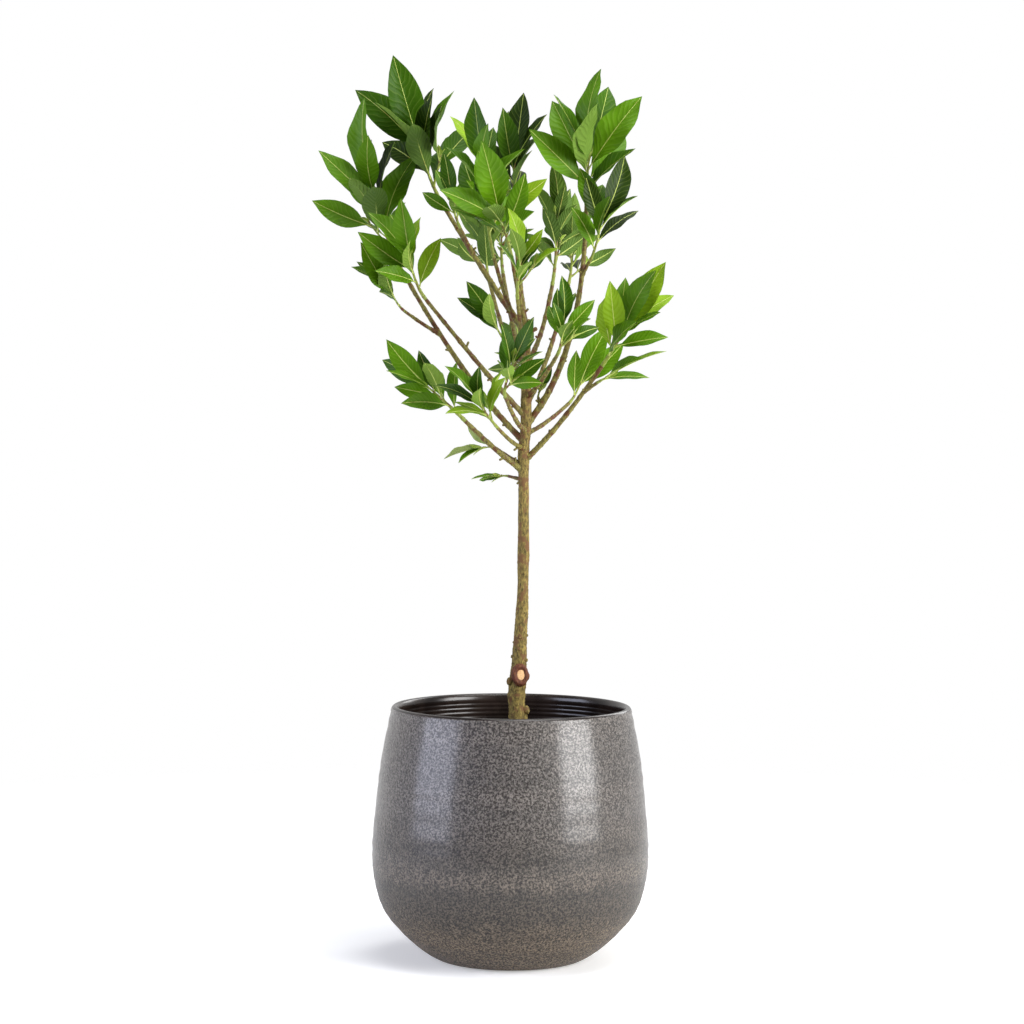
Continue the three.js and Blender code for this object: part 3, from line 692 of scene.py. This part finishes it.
def bark(name, hollow, ridge, patch, grain_mm, patch_mm, patch_share, roughness):
    """Bark in three tones: a ground that runs from hollow to ridge along the grain, and patches."""
    material, tree, shader, place = finish(name, Roughness=roughness, IOR=1.45)
    drawn = add(tree, "ShaderNodeMapping", {"Vector": place, "Scale": (1, 1, 0.4)}).outputs[0]
    grain = pattern(tree, drawn, per(grain_mm), 4.0, 0.7)
    blots = pattern(tree, place, per(patch_mm), 3.0, 0.65)
    run = add(
        tree, "ShaderNodeMapRange", {"Value": grain.outputs[0], "From Min": 0.36, "From Max": 0.66},
    ).outputs[0]
    ground = mixed(tree, run, shade(hollow), shade(ridge))
    edge = 0.5 + 0.25 * (0.5 - patch_share)
    cover = add(
        tree, "ShaderNodeMapRange", {"Value": blots.outputs[0], "From Min": edge, "From Max": edge + 0.09},
    ).outputs[0]
    patched = mixed(tree, cover, ground, shade(patch))
    tree.links.new(patched, shader.inputs["Base Color"])
    bump = add(tree, "ShaderNodeBump", {"Height": grain.outputs[0], "Strength": 0.5, "Distance": 0.0005})
    tree.links.new(bump.outputs[0], shader.inputs["Normal"])
    return material


def cut_wood():
    """A fresh pruning cut: pale heartwood finely mottled with the orange that it dries to."""
    material, tree, shader, place = finish("sawn bay wood", Roughness=0.7, IOR=1.45)
    rings = pattern(tree, place, per(2.2), 3.0)
    tone = mixed(tree, rings.outputs[0], shade("#c98a4e"), shade("#f0d3a2"))
    tree.links.new(tone, shader.inputs["Base Color"])
    return material


def leaf_skin(name, main, other, roughness, vein_depth):
    """Leathery bay leaf: one green with a slow drift to another, a waxy sheen, and side veins that show
    as a faint quilting along the blade's own map."""
    material, tree, shader, place = finish(name, Roughness=roughness, IOR=1.38, Specular_IOR_Level=0.22)
    drift = pattern(tree, place, per(38), 2.0)
    share = add(
        tree, "ShaderNodeMapRange", {"Value": drift.outputs[0], "From Min": 0.25, "From Max": 0.75},
    ).outputs[0]
    tone = mixed(tree, share, shade(main), shade(other))
    blade = add(tree, "ShaderNodeUVMap", uv_map="blade").outputs[0]
    across, along = add(tree, "ShaderNodeSeparateXYZ", {0: blade}).outputs[:2]
    centred = sums(tree, "SUBTRACT", across, 0.5)
    off = sums(tree, "ABSOLUTE", centred)
    swept = sums(tree, "MULTIPLY_ADD", off, -0.42, along)
    strays = pattern(tree, place, per(16), 1.0).outputs[0]
    stray = sums(tree, "MULTIPLY_ADD", strays, 0.16, swept)
    wave = sums(tree, "MULTIPLY", stray, math.tau * SIDE_VEINS)
    ridge = sums(tree, "SINE", wave)
    vein = add(
        tree, "ShaderNodeMapRange", {"Value": ridge, "From Min": 0.72, "From Max": 1.0},
    ).outputs[0]
    lift = add(
        tree, "ShaderNodeMix", {0: vein, 6: tone, 7: shade(VEIN_GREEN)}, data_type="RGBA",
    )
    faint = sums(tree, "MULTIPLY", vein, 0.09)
    tree.links.new(faint, lift.inputs[0])
    tree.links.new(lift.outputs[2], shader.inputs["Base Color"])
    bump = add(tree, "ShaderNodeBump", {"Height": ridge, "Strength": vein_depth, "Distance": 0.0006})
    tree.links.new(bump.outputs[0], shader.inputs["Normal"])
    return material


def potting_compost():
    """Moist peat-free compost: near-black fibres and crumbs, matt, a little lighter where it dries."""
    material, tree, shader, place = finish("moist potting compost", Roughness=0.9, IOR=1.4)
    fibres = pattern(tree, place, per(3), 5.0, 0.7)
    tone = mixed(tree, fibres.outputs[0], shade("#1c130d"), shade("#4a3626"))
    tree.links.new(tone, shader.inputs["Base Color"])
    bump = add(tree, "ShaderNodeBump", {"Height": fibres.outputs[0], "Strength": 0.8, "Distance": 0.002})
    tree.links.new(bump.outputs[0], shader.inputs["Normal"])
    return material


# ---- Pot and compost -----------------------------------------------------------------------------

POT_STEPS = 56  # rings up the outside
POT_TURN = 144  # faces round
LINER_FROM = 255.2  # height above which the liner glaze covers the lip too
THROWING_RINGS = ((247, 0.9), (242.5, 1.1), (238, 1.1), (233, 1.0), (227.5, 0.9), (221, 0.8))  # height, depth


def smooth_profile(stations, steps):
    """Points of one smooth line through the stations."""
    points = [vector(*station) for station in stations]
    points = [2 * points[0] - points[1], *points, 2 * points[-1] - points[-2]]
    line = []
    for step in range(steps + 1):
        whole = min(int(step / steps * (len(stations) - 1)), len(stations) - 2)
        t = step / steps * (len(stations) - 1) - whole
        a, b, c, d = points[whole:whole + 4]
        bend = (2 * a - 5 * b + 4 * c - d) * t**2 + (3 * b - a - 3 * c + d) * t**3
        line.append(0.5 * (2 * b + (c - a) * t + bend))
    return line


POT_SIDE = smooth_profile(POT_PROFILE, POT_STEPS)


def pot_radius(height):
    return float(np.interp(height, [point[1] for point in POT_SIDE], [point[0] for point in POT_SIDE]))


def turned_on_axis(profile, faces, roughen=None):
    """A closed turned mesh from (radius, height) pairs in mm, both ends on the axis."""
    shape = bmesh.new()
    rings = []
    for radius, height in profile:
        count = faces if radius > 0.01 else 1
        ring = []
        for i in range(count):
            turn = math.tau * i / faces
            place = vector(radius * math.cos(turn), radius * math.sin(turn), height)
            if roughen:
                place = roughen(place)
            ring.append(shape.verts.new(tuple(place * MM)))
        rings.append(ring)
    for low, high in zip(rings, rings[1:]):
        for i in range(faces):
            sides = ((low, i), (low, i + 1), (high, i + 1), (high, i))
            corners = [ring[place % len(ring)] for ring, place in sides]
            shape.faces.new(list(dict.fromkeys(corners)))
    bmesh.ops.recalc_face_normals(shape, faces=shape.faces)
    mesh = bpy.data.meshes.new("turned")
    shape.to_mesh(mesh)
    shape.free()
    return mesh


def pot_profile():
    """The pot's section: foot, belly, rolled lip, and the inner side with its throwing rings."""
    edge_radius, edge_height = POT_SIDE[-1]
    outside = [(0, 0), (68, 0), (74, 0.2)]
    for radius, height in POT_SIDE[1:]:
        ripple = 0.22 * math.sin(height * 0.55) + 0.12 * math.sin(height * 1.3)
        outside.append((radius - 0.2 + ripple * min(1, height / 40), height))
    middle = edge_radius - POT_WALL / 2
    lip = [
        (middle + math.cos(turn) * (POT_WALL / 2 - 0.1), edge_height + math.sin(turn) * 6.9)
        for turn in [math.radians(angle) for angle in range(15, 180, 15)]
    ]
    inside = []
    for step in range(60):
        height = edge_height - 0.5 - step * 1.1
        cut = sum(depth * math.exp(-(((height - ring) / 1.1) ** 2)) for ring, depth in THROWING_RINGS)
        inside.append((pot_radius(height) - POT_WALL + cut, height))
    inside += [(pot_radius(120) - POT_WALL, 120), (pot_radius(60) - POT_WALL, 60), (88, POT_INNER_CORNER)]
    return outside, lip + inside + [(66, POT_FLOOR), (0, POT_FLOOR)]


def make_pot():
    outside, inside = pot_profile()
    mesh = turned_on_axis(outside + inside, POT_TURN)
    mesh.materials.append(stoneware_glaze())
    mesh.materials.append(inside_glaze())
    for face in mesh.polygons:
        height = face.center.z / MM
        inner = face.center.xy.length / MM < pot_radius(height) - POT_WALL / 2
        if height > LINER_FROM or (inner and height > POT_FLOOR - 0.1):
            face.material_index = 1
    keep("turned_pot", mesh, "pot_glaze", "pot")


def make_compost():
    mound = (*SOIL_MOUND, 120), (SOIL_TOP, SOIL_EDGE + 1, SOIL_EDGE)
    rise = lambda radius: float(np.interp(radius, *mound))
    edge = pot_radius(SOIL_EDGE) - POT_WALL - 0.9

    def crumbly(place):
        if place[2] < SOIL_EDGE - 1:
            return place
        lumps = noise.noise(Vector(place) / 16) * 1.6 + noise.noise(Vector(place) / 5) * 1.2
        return place + vector(0, 0, lumps - 1.4)

    top = [(radius, rise(radius)) for radius in np.linspace(0, edge, 44)]
    wall = [(pot_radius(height) - POT_WALL - 0.9, height) for height in (200, 160, 110, 60)]
    base = [(87, POT_INNER_CORNER + 1), (65, POT_FLOOR + 1), (0, POT_FLOOR + 1)]
    mesh = turned_on_axis(top + wall + base, 150, crumbly)
    soil = potting_compost()
    mesh.materials.append(soil)
    surface = bmesh.new()
    surface.from_mesh(mesh)
    buried = [face for face in surface.faces if face.calc_center_median().z < (SOIL_EDGE - 4) * MM]
    bmesh.ops.delete(surface, geom=buried, context="FACES")
    open_top = bpy.data.meshes.new("open top")
    surface.to_mesh(open_top)
    surface.free()
    crumbs = grown(
        open_top, crumbs_tree(), Spacing=0.0032, Smallest=0.0007, Largest=0.0026, Seed=7, Crumb=soil,
    )
    keep("compost_bed", mesh, "compost", "compost")
    keep("compost_crumbs", crumbs, "compost", smooth=False)


# ---- Trunk and boughs ----------------------------------------------------------------------------

RING_STEP = 1.6  # mm between the rings of bark
NODE_STEP = 21  # mm between the scars of old leaves on a bough
NODE_SWELL = 0.14
COLLAR = (0.4, 5)  # a bough's extra girth where it leaves its parent, and how fast that fades, mm

# The sawn stub: where it stands, which way, and its size.
PRUNING_CUT = dict(height=288, bearing=-78, rise=7, stands=11.5)


def wood_paths(runs):
    """One seedling for many lengths of round wood, each (list of points, list of radii)."""
    points, radii, edges = [], [], []
    for line, girths in runs:
        first = len(points)
        points += line
        radii += [girth * MM for girth in girths]
        edges += [(first + i, first + i + 1) for i in range(len(line) - 1)]
    return seedling_mesh("wood paths", points, edges, girth=radii)


def run_along(path, radius_at, length, step=RING_STEP):
    count = max(3, round(length / step))
    shares = [i / count for i in range(count + 1)]
    return [path.point(share) for share in shares], [radius_at(share) for share in shares]


def straight(foot, along, length, radii):
    """A short straight length that closes to a worn end."""
    shares = (0, 0.35, 0.7, 0.93, 1)
    worn = (1, 0.97, 1.0, 1.04, 0.7)
    return [foot + along * length * share for share in shares], [
        between(radii, share) * wear for share, wear in zip(shares, worn)
    ]


def bough_run(limb):
    foot_radius, tip_radius = limb.girth[0] / 2, limb.girth[1] / 2

    def radius_at(share):
        run = share * limb.length
        collar = COLLAR[0] * math.exp(-max(0, run - foot_radius) / COLLAR[1])
        scar = NODE_SWELL * math.exp(-(((run % NODE_STEP) - NODE_STEP / 2) / 1.7) ** 2)
        return between((foot_radius, tip_radius), share) * (1 + collar + scar) * 0.97

    return run_along(paths[limb.name], radius_at, limb.length)


SNAG_LENGTHS = (2, 6)
SNAG_RADIUS = 1.25


def snags(limb, random):
    """The short cut-back twigs along a bough, most near its foot."""
    runs = []
    for i in range(1 + int(limb.length / 80)):
        share = min(0.9, 0.12 + i * 0.24 + 0.1 * random())
        path = paths[limb.name]
        along = leaning(path.tangent(share), math.radians(48 + 20 * random()), math.radians(360 * random()))
        length = between(SNAG_LENGTHS, random()) + limb.girth[0] / 2
        runs.append(straight(path.point(share), along, length, (SNAG_RADIUS, SNAG_RADIUS * 0.85)))
    return runs


# Knots on the trunk: height, bearing, radius.
TRUNK_KNOTS = (
    (306, 180, 2.0), (303, -20, 2.2), (316, -95, 2.4), (322, 180, 1.3), (328, -15, 1.6), (327, -90, 2.2),
    (251, -15, 5.2), (281, 205, 4.6), (352, -60, 1.4), (520, -95, 2.4),
)


def make_trunk(wood, trunk_bark):
    radius_at = lambda share: trunk_radius(share) * (0.97 + 0.03 * math.sin(share * 60))
    runs = [run_along(paths["trunk"], radius_at, TRUNK_STATIONS[-1][0] - TRUNK_STATIONS[0][0], 1.2)]
    for height, clock, toward, length in LEADER_STUBS:
        runs.append(straight(trunk_point(trunk_share(height)), direction(clock, toward), length, STUB_RADII))
    for height, bearing, radius in TRUNK_KNOTS:
        along = vector(math.cos(math.radians(bearing)), math.sin(math.radians(bearing)), 0.15)
        share = trunk_share(height)
        out = trunk_radius(share) + radius * 0.55
        runs.append(straight(trunk_point(share), unit(along), out, (radius, radius * 0.8)))
    mesh = grown(
        wood_paths(runs), wood, Sides=40, Lumps=0.34, LumpScale=per(15), Warts=0.07, WartScale=per(2.6),
        Bark=trunk_bark,
    )
    keep("trunk_bark", mesh, "trunk_bark", "trunk")


def make_pruning_cut():
    """A rolled collar of bark round a sunk oval of pale wood, looking out from the trunk."""
    bearing, rise = math.radians(PRUNING_CUT["bearing"]), math.radians(PRUNING_CUT["rise"])
    outward = unit(vector(math.cos(bearing), math.sin(bearing), math.tan(rise)))
    foot = trunk_point(trunk_share(PRUNING_CUT["height"]))
    collar = [
        (0, -6), (9.6, -6), (9.4, -2.6), (8.7, -0.8), (7.7, 0.4), (6.6, 0.5), (5.4, -0.1), (4.4, -0.9),
        (0, -1.6),
    ]
    face = [(0, -2.2), (4.8, -2.2), (4.7, -0.9), (4.1, -0.6), (3.2, -0.5), (1.6, -0.55), (0, -0.5)]
    turn = Vector(outward).to_track_quat("Z", "Y").to_matrix().to_4x4()
    place = Matrix.Translation(Vector((foot + outward * PRUNING_CUT["stands"]) * MM)) @ turn
    wound = bark(
        "bark rolled round a wound", "#3a160a", "#7d4a2a", "#5a2812",
        grain_mm=1.6, patch_mm=4, patch_share=0.5, roughness=0.7,
    )
    for name, profile, material, across, rough in (
        ("pruning_collar", collar, wound, 0.93, 0.22), ("pruning_cut", face, cut_wood(), 0.86, 0.08),
    ):
        knobbly = lambda spot: vector(
            spot[0] * (across + rough * noise.noise(Vector(spot) / 4)), spot[1] * 1.22 * across / 0.9,
            spot[2] + rough * 3 * noise.noise(Vector(spot) / 2.4),
        )
        mesh = turned_on_axis(profile, 36, knobbly)
        mesh.transform(place)
        mesh.materials.append(material)
        keep(name, mesh, "trunk_bark")


def make_boughs(wood):
    random = random_from(5)
    runs = []
    for limb in LIMBS:
        runs.append(bough_run(limb))
        runs += snags(limb, random)
    young_bark = bark(
        "young bay bark", "#4c4416", "#8b8238", "#5a3410",
        grain_mm=2.2, patch_mm=9, patch_share=0.5, roughness=0.6,
    )
    mesh = grown(
        wood_paths(runs), wood, Sides=14, Lumps=0.3, LumpScale=per(9), Warts=0.16, WartScale=per(2.2),
        Bark=young_bark,
    )
    keep("bough_bark", mesh, "bough_bark", *[f"bough_{limb.name}" for limb in LIMBS])


# ---- Foliage -------------------------------------------------------------------------------------

SIDE_VEINS = 11  # pairs along a blade
VEIN_GREEN = "#a9bf5a"
STALK_SHARE = 0.085  # share of a leaf's length that is bare stalk
LEAF_ROWS = 12
LEAF_COLUMNS = 4
LEAF_DEPTH = 0.006  # a blade's thickness as a share of its length
STALK_RADII = (1.05, 0.75)  # at its foot and where the blade starts, mm
RIB_TIP = 0.3

# The blade's outline: share of the length, share of the half width.
LEAF_OUTLINE = (
    (STALK_SHARE, 0.05), (0.14, 0.17), (0.2, 0.38), (0.3, 0.69), (0.4, 0.9), (0.5, 0.99), (0.6, 0.97),
    (0.7, 0.86), (0.8, 0.66), (0.88, 0.43), (0.95, 0.17), (1, 0),
)
# Each shape's fold up from the midrib in degrees, wave of the margin, sideways sweep and wave's start.
LEAF_SHAPES = (
    (14, 0.010, 0.02, 0.0), (20, 0.014, -0.03, 0.3), (10, 0.018, 0.04, 0.6), (26, 0.010, -0.015, 0.15),
    (16, 0.022, 0.0, 0.8), (22, 0.016, 0.035, 0.45), (8, 0.012, -0.04, 0.7),
)
MEAN_ARCH = 0.06
BREADTHS = (0.86, 1.02)


def leaf_shape(fold, wave, sweep, phase):
    """A blade one unit long on +X, upper face on +Z: two skins that meet at a sharp margin."""
    fold = math.radians(fold)
    shape = bmesh.new()
    below_layer = shape.faces.layers.bool.new("underside")
    blade = shape.loops.layers.uv.new("blade")
    stations = np.linspace(STALK_SHARE, 1, LEAF_ROWS + 1)
    shares, widths = zip(*LEAF_OUTLINE)
    skins = {}
    for skin in (0, 1):
        for row, share in enumerate(stations):
            half = float(np.interp(share, shares, widths)) * LEAF_WIDTH / 2
            for column in range(LEAF_COLUMNS + 1):
                across = 2 * column / LEAF_COLUMNS - 1
                margin = column in (0, LEAF_COLUMNS) or row in (0, LEAF_ROWS)
                if skin and margin:
                    skins[1, row, column] = skins[0, row, column]
                    continue
                if row == LEAF_ROWS and column:
                    skins[skin, row, column] = skins[skin, row, 0]
                    continue
                ripple = wave * math.sin(math.tau * (2.6 * share + phase + 0.22 * (across > 0))) * across**2
                lift = abs(across) ** 1.4 * half * math.sin(fold) + ripple * min(1, half * 12)
                bulge = 0.1 * half * math.sin(math.pi * abs(across))
                arch = 4 * share * (1 - share) * MEAN_ARCH
                skins[skin, row, column] = shape.verts.new((
                    share,
                    across * half * math.cos(fold * 0.6) + 4 * share * (1 - share) * sweep,
                    arch + lift + bulge - skin * LEAF_DEPTH,
                ))
    for skin in (0, 1):
        for row in range(LEAF_ROWS):
            for column in range(LEAF_COLUMNS):
                a, b, c, d = (row, column), (row + 1, column), (row + 1, column + 1), (row, column + 1)
                # Both skins split a cell along the same diagonal, so neither cuts the other.
                for ring in ((a, b, c), (a, c, d)) if column < LEAF_COLUMNS / 2 else ((a, b, d), (b, c, d)):
                    corners = list(dict.fromkeys(skins[skin, i, j] for i, j in ring))
                    if len(corners) < 3:
                        continue
                    if skin:
                        corners.reverse()
                    face = shape.faces.new(corners)
                    face[below_layer] = bool(skin)
                    face.smooth = True
                    for loop in face.loops:
                        i, j = next(spot for spot in ring if skins[skin, spot[0], spot[1]] is loop.vert)
                        loop[blade].uv = (j / LEAF_COLUMNS, i / LEAF_ROWS)
    for edge in shape.edges:
        faces = edge.link_faces
        edge.smooth = len(faces) == 2 and faces[0][below_layer] == faces[1][below_layer]
    mesh = bpy.data.meshes.new("leaf shape")
    shape.to_mesh(mesh)
    shape.free()
    return mesh


TONES = {
    # key: piece, upper skin (two greens), under skin (two greens), roughness
    # The deep greens of "d" are painted shade: they go mostly to the sprays at the back of the crown, darker
    # for the shadow they sit in.
    "d": ("leaves_deep", ("#1a2e00", "#263c02"), ("#4a6624", "#56722e"), 0.44),
    "g": ("leaves_green", ("#2c4e00", "#3a6003"), ("#5e7c2a", "#6a8836"), 0.45),
    "l": ("leaves_light", ("#466e04", "#588408"), ("#708e32", "#7c9a3e"), 0.46),
    "y": ("leaves_young", ("#6f9010", "#80a21a"), ("#86a238", "#92ae44"), 0.5),
    "p": ("leaves_grey", ("#86954f", "#96a55f"), ("#8e9c5e", "#9aa86a"), 0.58),
}


def breadth(leaf):
    """How wide a leaf is against the widest of its kind."""
    return between(BREADTHS, leaf.length * 3.7 % 1)


def leaf_frame(leaf):
    side = np.cross(leaf.face, leaf.along)
    return Matrix((leaf.along, side, leaf.face)).transposed()


def make_leaves(leaves):
    shapes = bpy.data.collections.new("leaf shapes")
    for i, numbers in enumerate(LEAF_SHAPES):
        shapes.objects.link(bpy.data.objects.new(f"leaf_{i}", leaf_shape(*numbers)))
    tree = leaves_tree(shapes)
    foliage_nodes = [f"foliage_{limb.name}" for limb in LIMBS]
    for tone, (name, upper, under, roughness) in TONES.items():
        chosen = [leaf for leaf in leaves if leaf.tone == tone]
        seedling = seedling_mesh(
            "leaf roots",
            [leaf.root for leaf in chosen],
            shape=[int(leaf.length * 7) % len(LEAF_SHAPES) for leaf in chosen],
            stance=np.array([leaf_frame(leaf).to_euler() for leaf in chosen]),
            size=np.array([
                leaf.length * MM * vector(1, breadth(leaf), 0.6 + 0.4 * leaf.arch / MEAN_ARCH)
                for leaf in chosen
            ]),
        )
        mesh = grown(
            seedling, tree,
            Upper=leaf_skin(f"bay leaf {tone}, upper skin", *upper, roughness, 0.18),
            Under=leaf_skin(f"bay leaf {tone}, under skin", *under, roughness + 0.2, 0.35),
        )
        keep(name, mesh, "foliage", *foliage_nodes, smooth=False)
    for shape in list(shapes.objects):
        bpy.data.objects.remove(shape)
    bpy.data.collections.remove(shapes)


def rib_run(leaf):
    """A leaf's stalk and the midrib that runs on from it, just proud of the upper skin."""
    shares = np.linspace(0, 0.97, 12)
    line, radii = [], []
    fold, _, sweep, _ = LEAF_SHAPES[int(leaf.length * 7) % len(LEAF_SHAPES)]
    side = np.cross(leaf.face, leaf.along)
    rise = 0.6 + 0.4 * leaf.arch / MEAN_ARCH
    for share in shares:
        bend = 4 * share * (1 - share) * leaf.length
        line.append(
            leaf.root + leaf.along * share * leaf.length + leaf.face * bend * MEAN_ARCH * rise
            + side * bend * sweep * breadth(leaf)
        )
        if share < STALK_SHARE:
            radii.append(between(STALK_RADII, share / STALK_SHARE))
        else:
            radii.append(between((STALK_RADII[1], RIB_TIP), (share - STALK_SHARE) / (1 - STALK_SHARE)))
    return line, radii


BUD = (4.2, 1.25)  # length and radius, mm


def bud_run(foot, along, size=1.0):
    shares = (0, 0.2, 0.5, 0.8, 1)
    fat = (0.55, 0.95, 1, 0.5, 0.08)
    return [foot + along * BUD[0] * size * share for share in shares], [BUD[1] * size * f for f in fat]


def twig_runs(twig):
    path, (foot_radius, tip_radius) = twig
    length = float(np.linalg.norm(path.point(1) - path.point(0)))

    def radius_at(share):
        scar = 0.16 * math.exp(-((((share * length) % 9) - 4.5) / 1.1) ** 2)
        return between((foot_radius, tip_radius), share) * (1 + scar)

    return run_along(path, radius_at, length, 1.4)


YOUNG_LEAVES = 2  # unfolding at each tip
YOUNG_LENGTHS = (11, 19)
YOUNG_SPREAD = 20


def young_growth(twig, random, light):
    """The leaves that unfold round a twig's bud."""
    along = twig.path.tangent(1)
    grown_leaves = []
    start = 360 * random()
    for i in range(YOUNG_LEAVES):
        aim = leaning(along, math.radians(YOUNG_SPREAD + 14 * random()), math.radians(start + 180 * i))
        length = between(YOUNG_LENGTHS, random())
        face = square_to(aim, along + 0.2 * light)
        grown_leaves.append(Leaf(twig.path.point(0.98), aim, face, length, 0.05, "y"))
    return grown_leaves


def leaf_tone(leaf, tones, random):
    """A full-grown leaf is dealt one of its spray's greens; an unfolding one has its own."""
    return leaf if leaf.tone else leaf._replace(tone=tones[int(len(tones) * random())])


def make_foliage(wood):
    random = random_from(11)
    leaves, stems, ribs, buds = [], [], [], []
    for limb in LIMBS:
        twigs, spray_leaves = grow_spray(limb)
        light = vector(*LIGHT)
        for twig in twigs:
            stems.append(twig_runs(twig))
            buds.append(bud_run(twig.path.point(1), twig.path.tangent(1)))
            spray_leaves = spray_leaves + young_growth(twig, random, light)
        leaves += [leaf_tone(leaf, limb.tones, random) for leaf in spray_leaves]
    for leaf in leaves:
        ribs.append(rib_run(leaf))
        armpit = unit(leaf.along + leaf.face)
        buds.append(bud_run(leaf.root, armpit, 0.62))
    make_leaves(leaves)
    green_bark = bark(
        "green shoot bark", "#6f7a2c", "#93a040", "#6e4426",
        grain_mm=2, patch_mm=8, patch_share=0.35, roughness=0.5,
    )
    rib_skin = bark(
        "bay midrib", "#a3b548", "#c0cc70", "#9a9640",
        grain_mm=3, patch_mm=14, patch_share=0.2, roughness=0.45,
    )
    bud_scales = bark(
        "bud scales", "#6d7a34", "#8f8a3c", "#6b3f26",
        grain_mm=1.5, patch_mm=4, patch_share=0.4, roughness=0.5,
    )
    for name, runs, sides, skin, lumps in (
        ("green_shoots", stems, 10, green_bark, 0.22),
        ("stalks_and_midribs", ribs, 5, rib_skin, 0.0),
        ("buds", buds, 6, bud_scales, 0.0),
    ):
        mesh = grown(
            wood_paths(runs), wood, Sides=sides, Lumps=lumps, LumpScale=per(7), Warts=0.0, WartScale=per(2),
            Bark=skin,
        )
        keep(name, mesh, "foliage")
    print(f"{len(leaves)} leaves, {len(stems)} twigs")


# ---- Studio --------------------------------------------------------------------------------------

CAMERA_PLACE = (-0.001, -2.5, 0.5326)
CAMERA_DOWN = 1.78  # degrees below level
CAMERA_ROLL = 0.45
CAMERA_LENS = 86.17  # mm, on a 36 mm sensor


def make_camera():
    data = bpy.data.cameras.new("camera")
    data.lens, data.sensor_width = CAMERA_LENS, 36
    camera = bpy.data.objects.new("camera", data)
    bpy.context.scene.collection.objects.link(camera)
    level = Euler((math.radians(90 - CAMERA_DOWN), 0, 0)).to_matrix()
    aim = level @ Matrix.Rotation(math.radians(CAMERA_ROLL), 3, "Z")
    camera.matrix_world = Matrix.Translation(CAMERA_PLACE) @ aim.to_4x4()
    bpy.context.scene.camera = camera


def make_light(name, place, target, size, power, colour="#ffffff"):
    data = bpy.data.lights.new(name, "AREA")
    data.shape = "RECTANGLE"
    data.size, data.size_y = size
    data.energy = power
    data.color = shade(colour)[:3]
    lamp = bpy.data.objects.new(name, data)
    bpy.context.scene.collection.objects.link(lamp)
    lamp.location = place
    lamp.rotation_euler = (Vector(target) - Vector(place)).to_track_quat("-Z", "Y").to_euler()


def make_floor():
    """A pale round floor that thins out to the white round it."""
    bpy.ops.mesh.primitive_circle_add(vertices=96, radius=FLOOR_RADIUS, fill_type="NGON")
    floor = bpy.context.object
    floor.name = "floor"
    material, tree, shader, place = finish(
        "white acrylic, lit from below",
        Base_Color=shade("#f7f7f7"), Roughness=0.9, Emission_Color=shade("#ffffff"),
        Emission_Strength=0.25,
    )
    out = add(tree, "ShaderNodeVectorMath", {0: place}, operation="LENGTH").outputs["Value"]
    solid = add(
        tree, "ShaderNodeMapRange",
        {"Value": out, "From Min": FLOOR_RADIUS * 0.35, "From Max": FLOOR_RADIUS * 0.95,
         "To Min": 1.0, "To Max": 0.0},
        interpolation_type="SMOOTHSTEP",
    ).outputs[0]
    tree.links.new(solid, shader.inputs["Alpha"])
    floor.data.materials.append(material)


FLOOR_RADIUS = 1.6
SKY_LIGHT = 0.22  # the even light of the white room
SKY_SEEN = 1.0
ROOM_GLOSS = (0.06, 0.8)  # how bright the front of the room and the wall behind look in a glossy skin


def make_room():
    """White all round as seen, a softer even light on the plant, and for its gloss a white wall behind
    and a dim room in front."""
    world = bpy.data.worlds.new("studio")
    bpy.context.scene.world = world
    world.use_nodes = True
    tree = world.node_tree
    generated = add(tree, "ShaderNodeTexCoord").outputs["Generated"]
    back = add(tree, "ShaderNodeSeparateXYZ", {0: generated}).outputs["Y"]
    wall = add(
        tree, "ShaderNodeMapRange",
        {"Value": back, "From Min": -0.1, "From Max": 0.6, "To Min": ROOM_GLOSS[0], "To Max": ROOM_GLOSS[1]},
    ).outputs[0]
    path = add(tree, "ShaderNodeLightPath")
    even = add(
        tree, "ShaderNodeMix", {0: path.outputs["Is Glossy Ray"], 2: SKY_LIGHT, 3: wall},
    ).outputs[0]
    strength = add(tree, "ShaderNodeMix", {0: path.outputs["Is Camera Ray"], 2: even, 3: SKY_SEEN}).outputs[0]
    tree.links.new(strength, tree.nodes["Background"].inputs["Strength"])
    tree.nodes["Background"].inputs["Color"].default_value = (1, 1, 1, 1)
    bpy.context.scene.view_settings.view_transform = "Standard"


make_camera()
make_room()
make_floor()
make_light("key softbox", (1.85, -1.05, 0.95), (0, 0, 0.4), (1.3, 1.6), 74)
make_light("left softbox", (-2.0, -0.8, 0.85), (0, 0, 0.35), (1.5, 1.5), 42, "#e2e8ff")
make_light("top softbox", (0.3, -0.2, 2.3), (0, 0, 0.5), (1.4, 1.4), 34)
make_light("rim softbox", (0.9, 1.3, 1.2), (0, 0, 0.5), (0.6, 1.0), 8)

wood = round_wood_tree()
trunk_bark = bark(
    "old bay bark", "#3c310f", "#9a8644", "#6b4c2a",
    grain_mm=1.7, patch_mm=9, patch_share=0.42, roughness=0.8,
)
make_pot()
make_compost()
make_trunk(wood, trunk_bark)
make_pruning_cut()
make_boughs(wood)
make_foliage(wood)
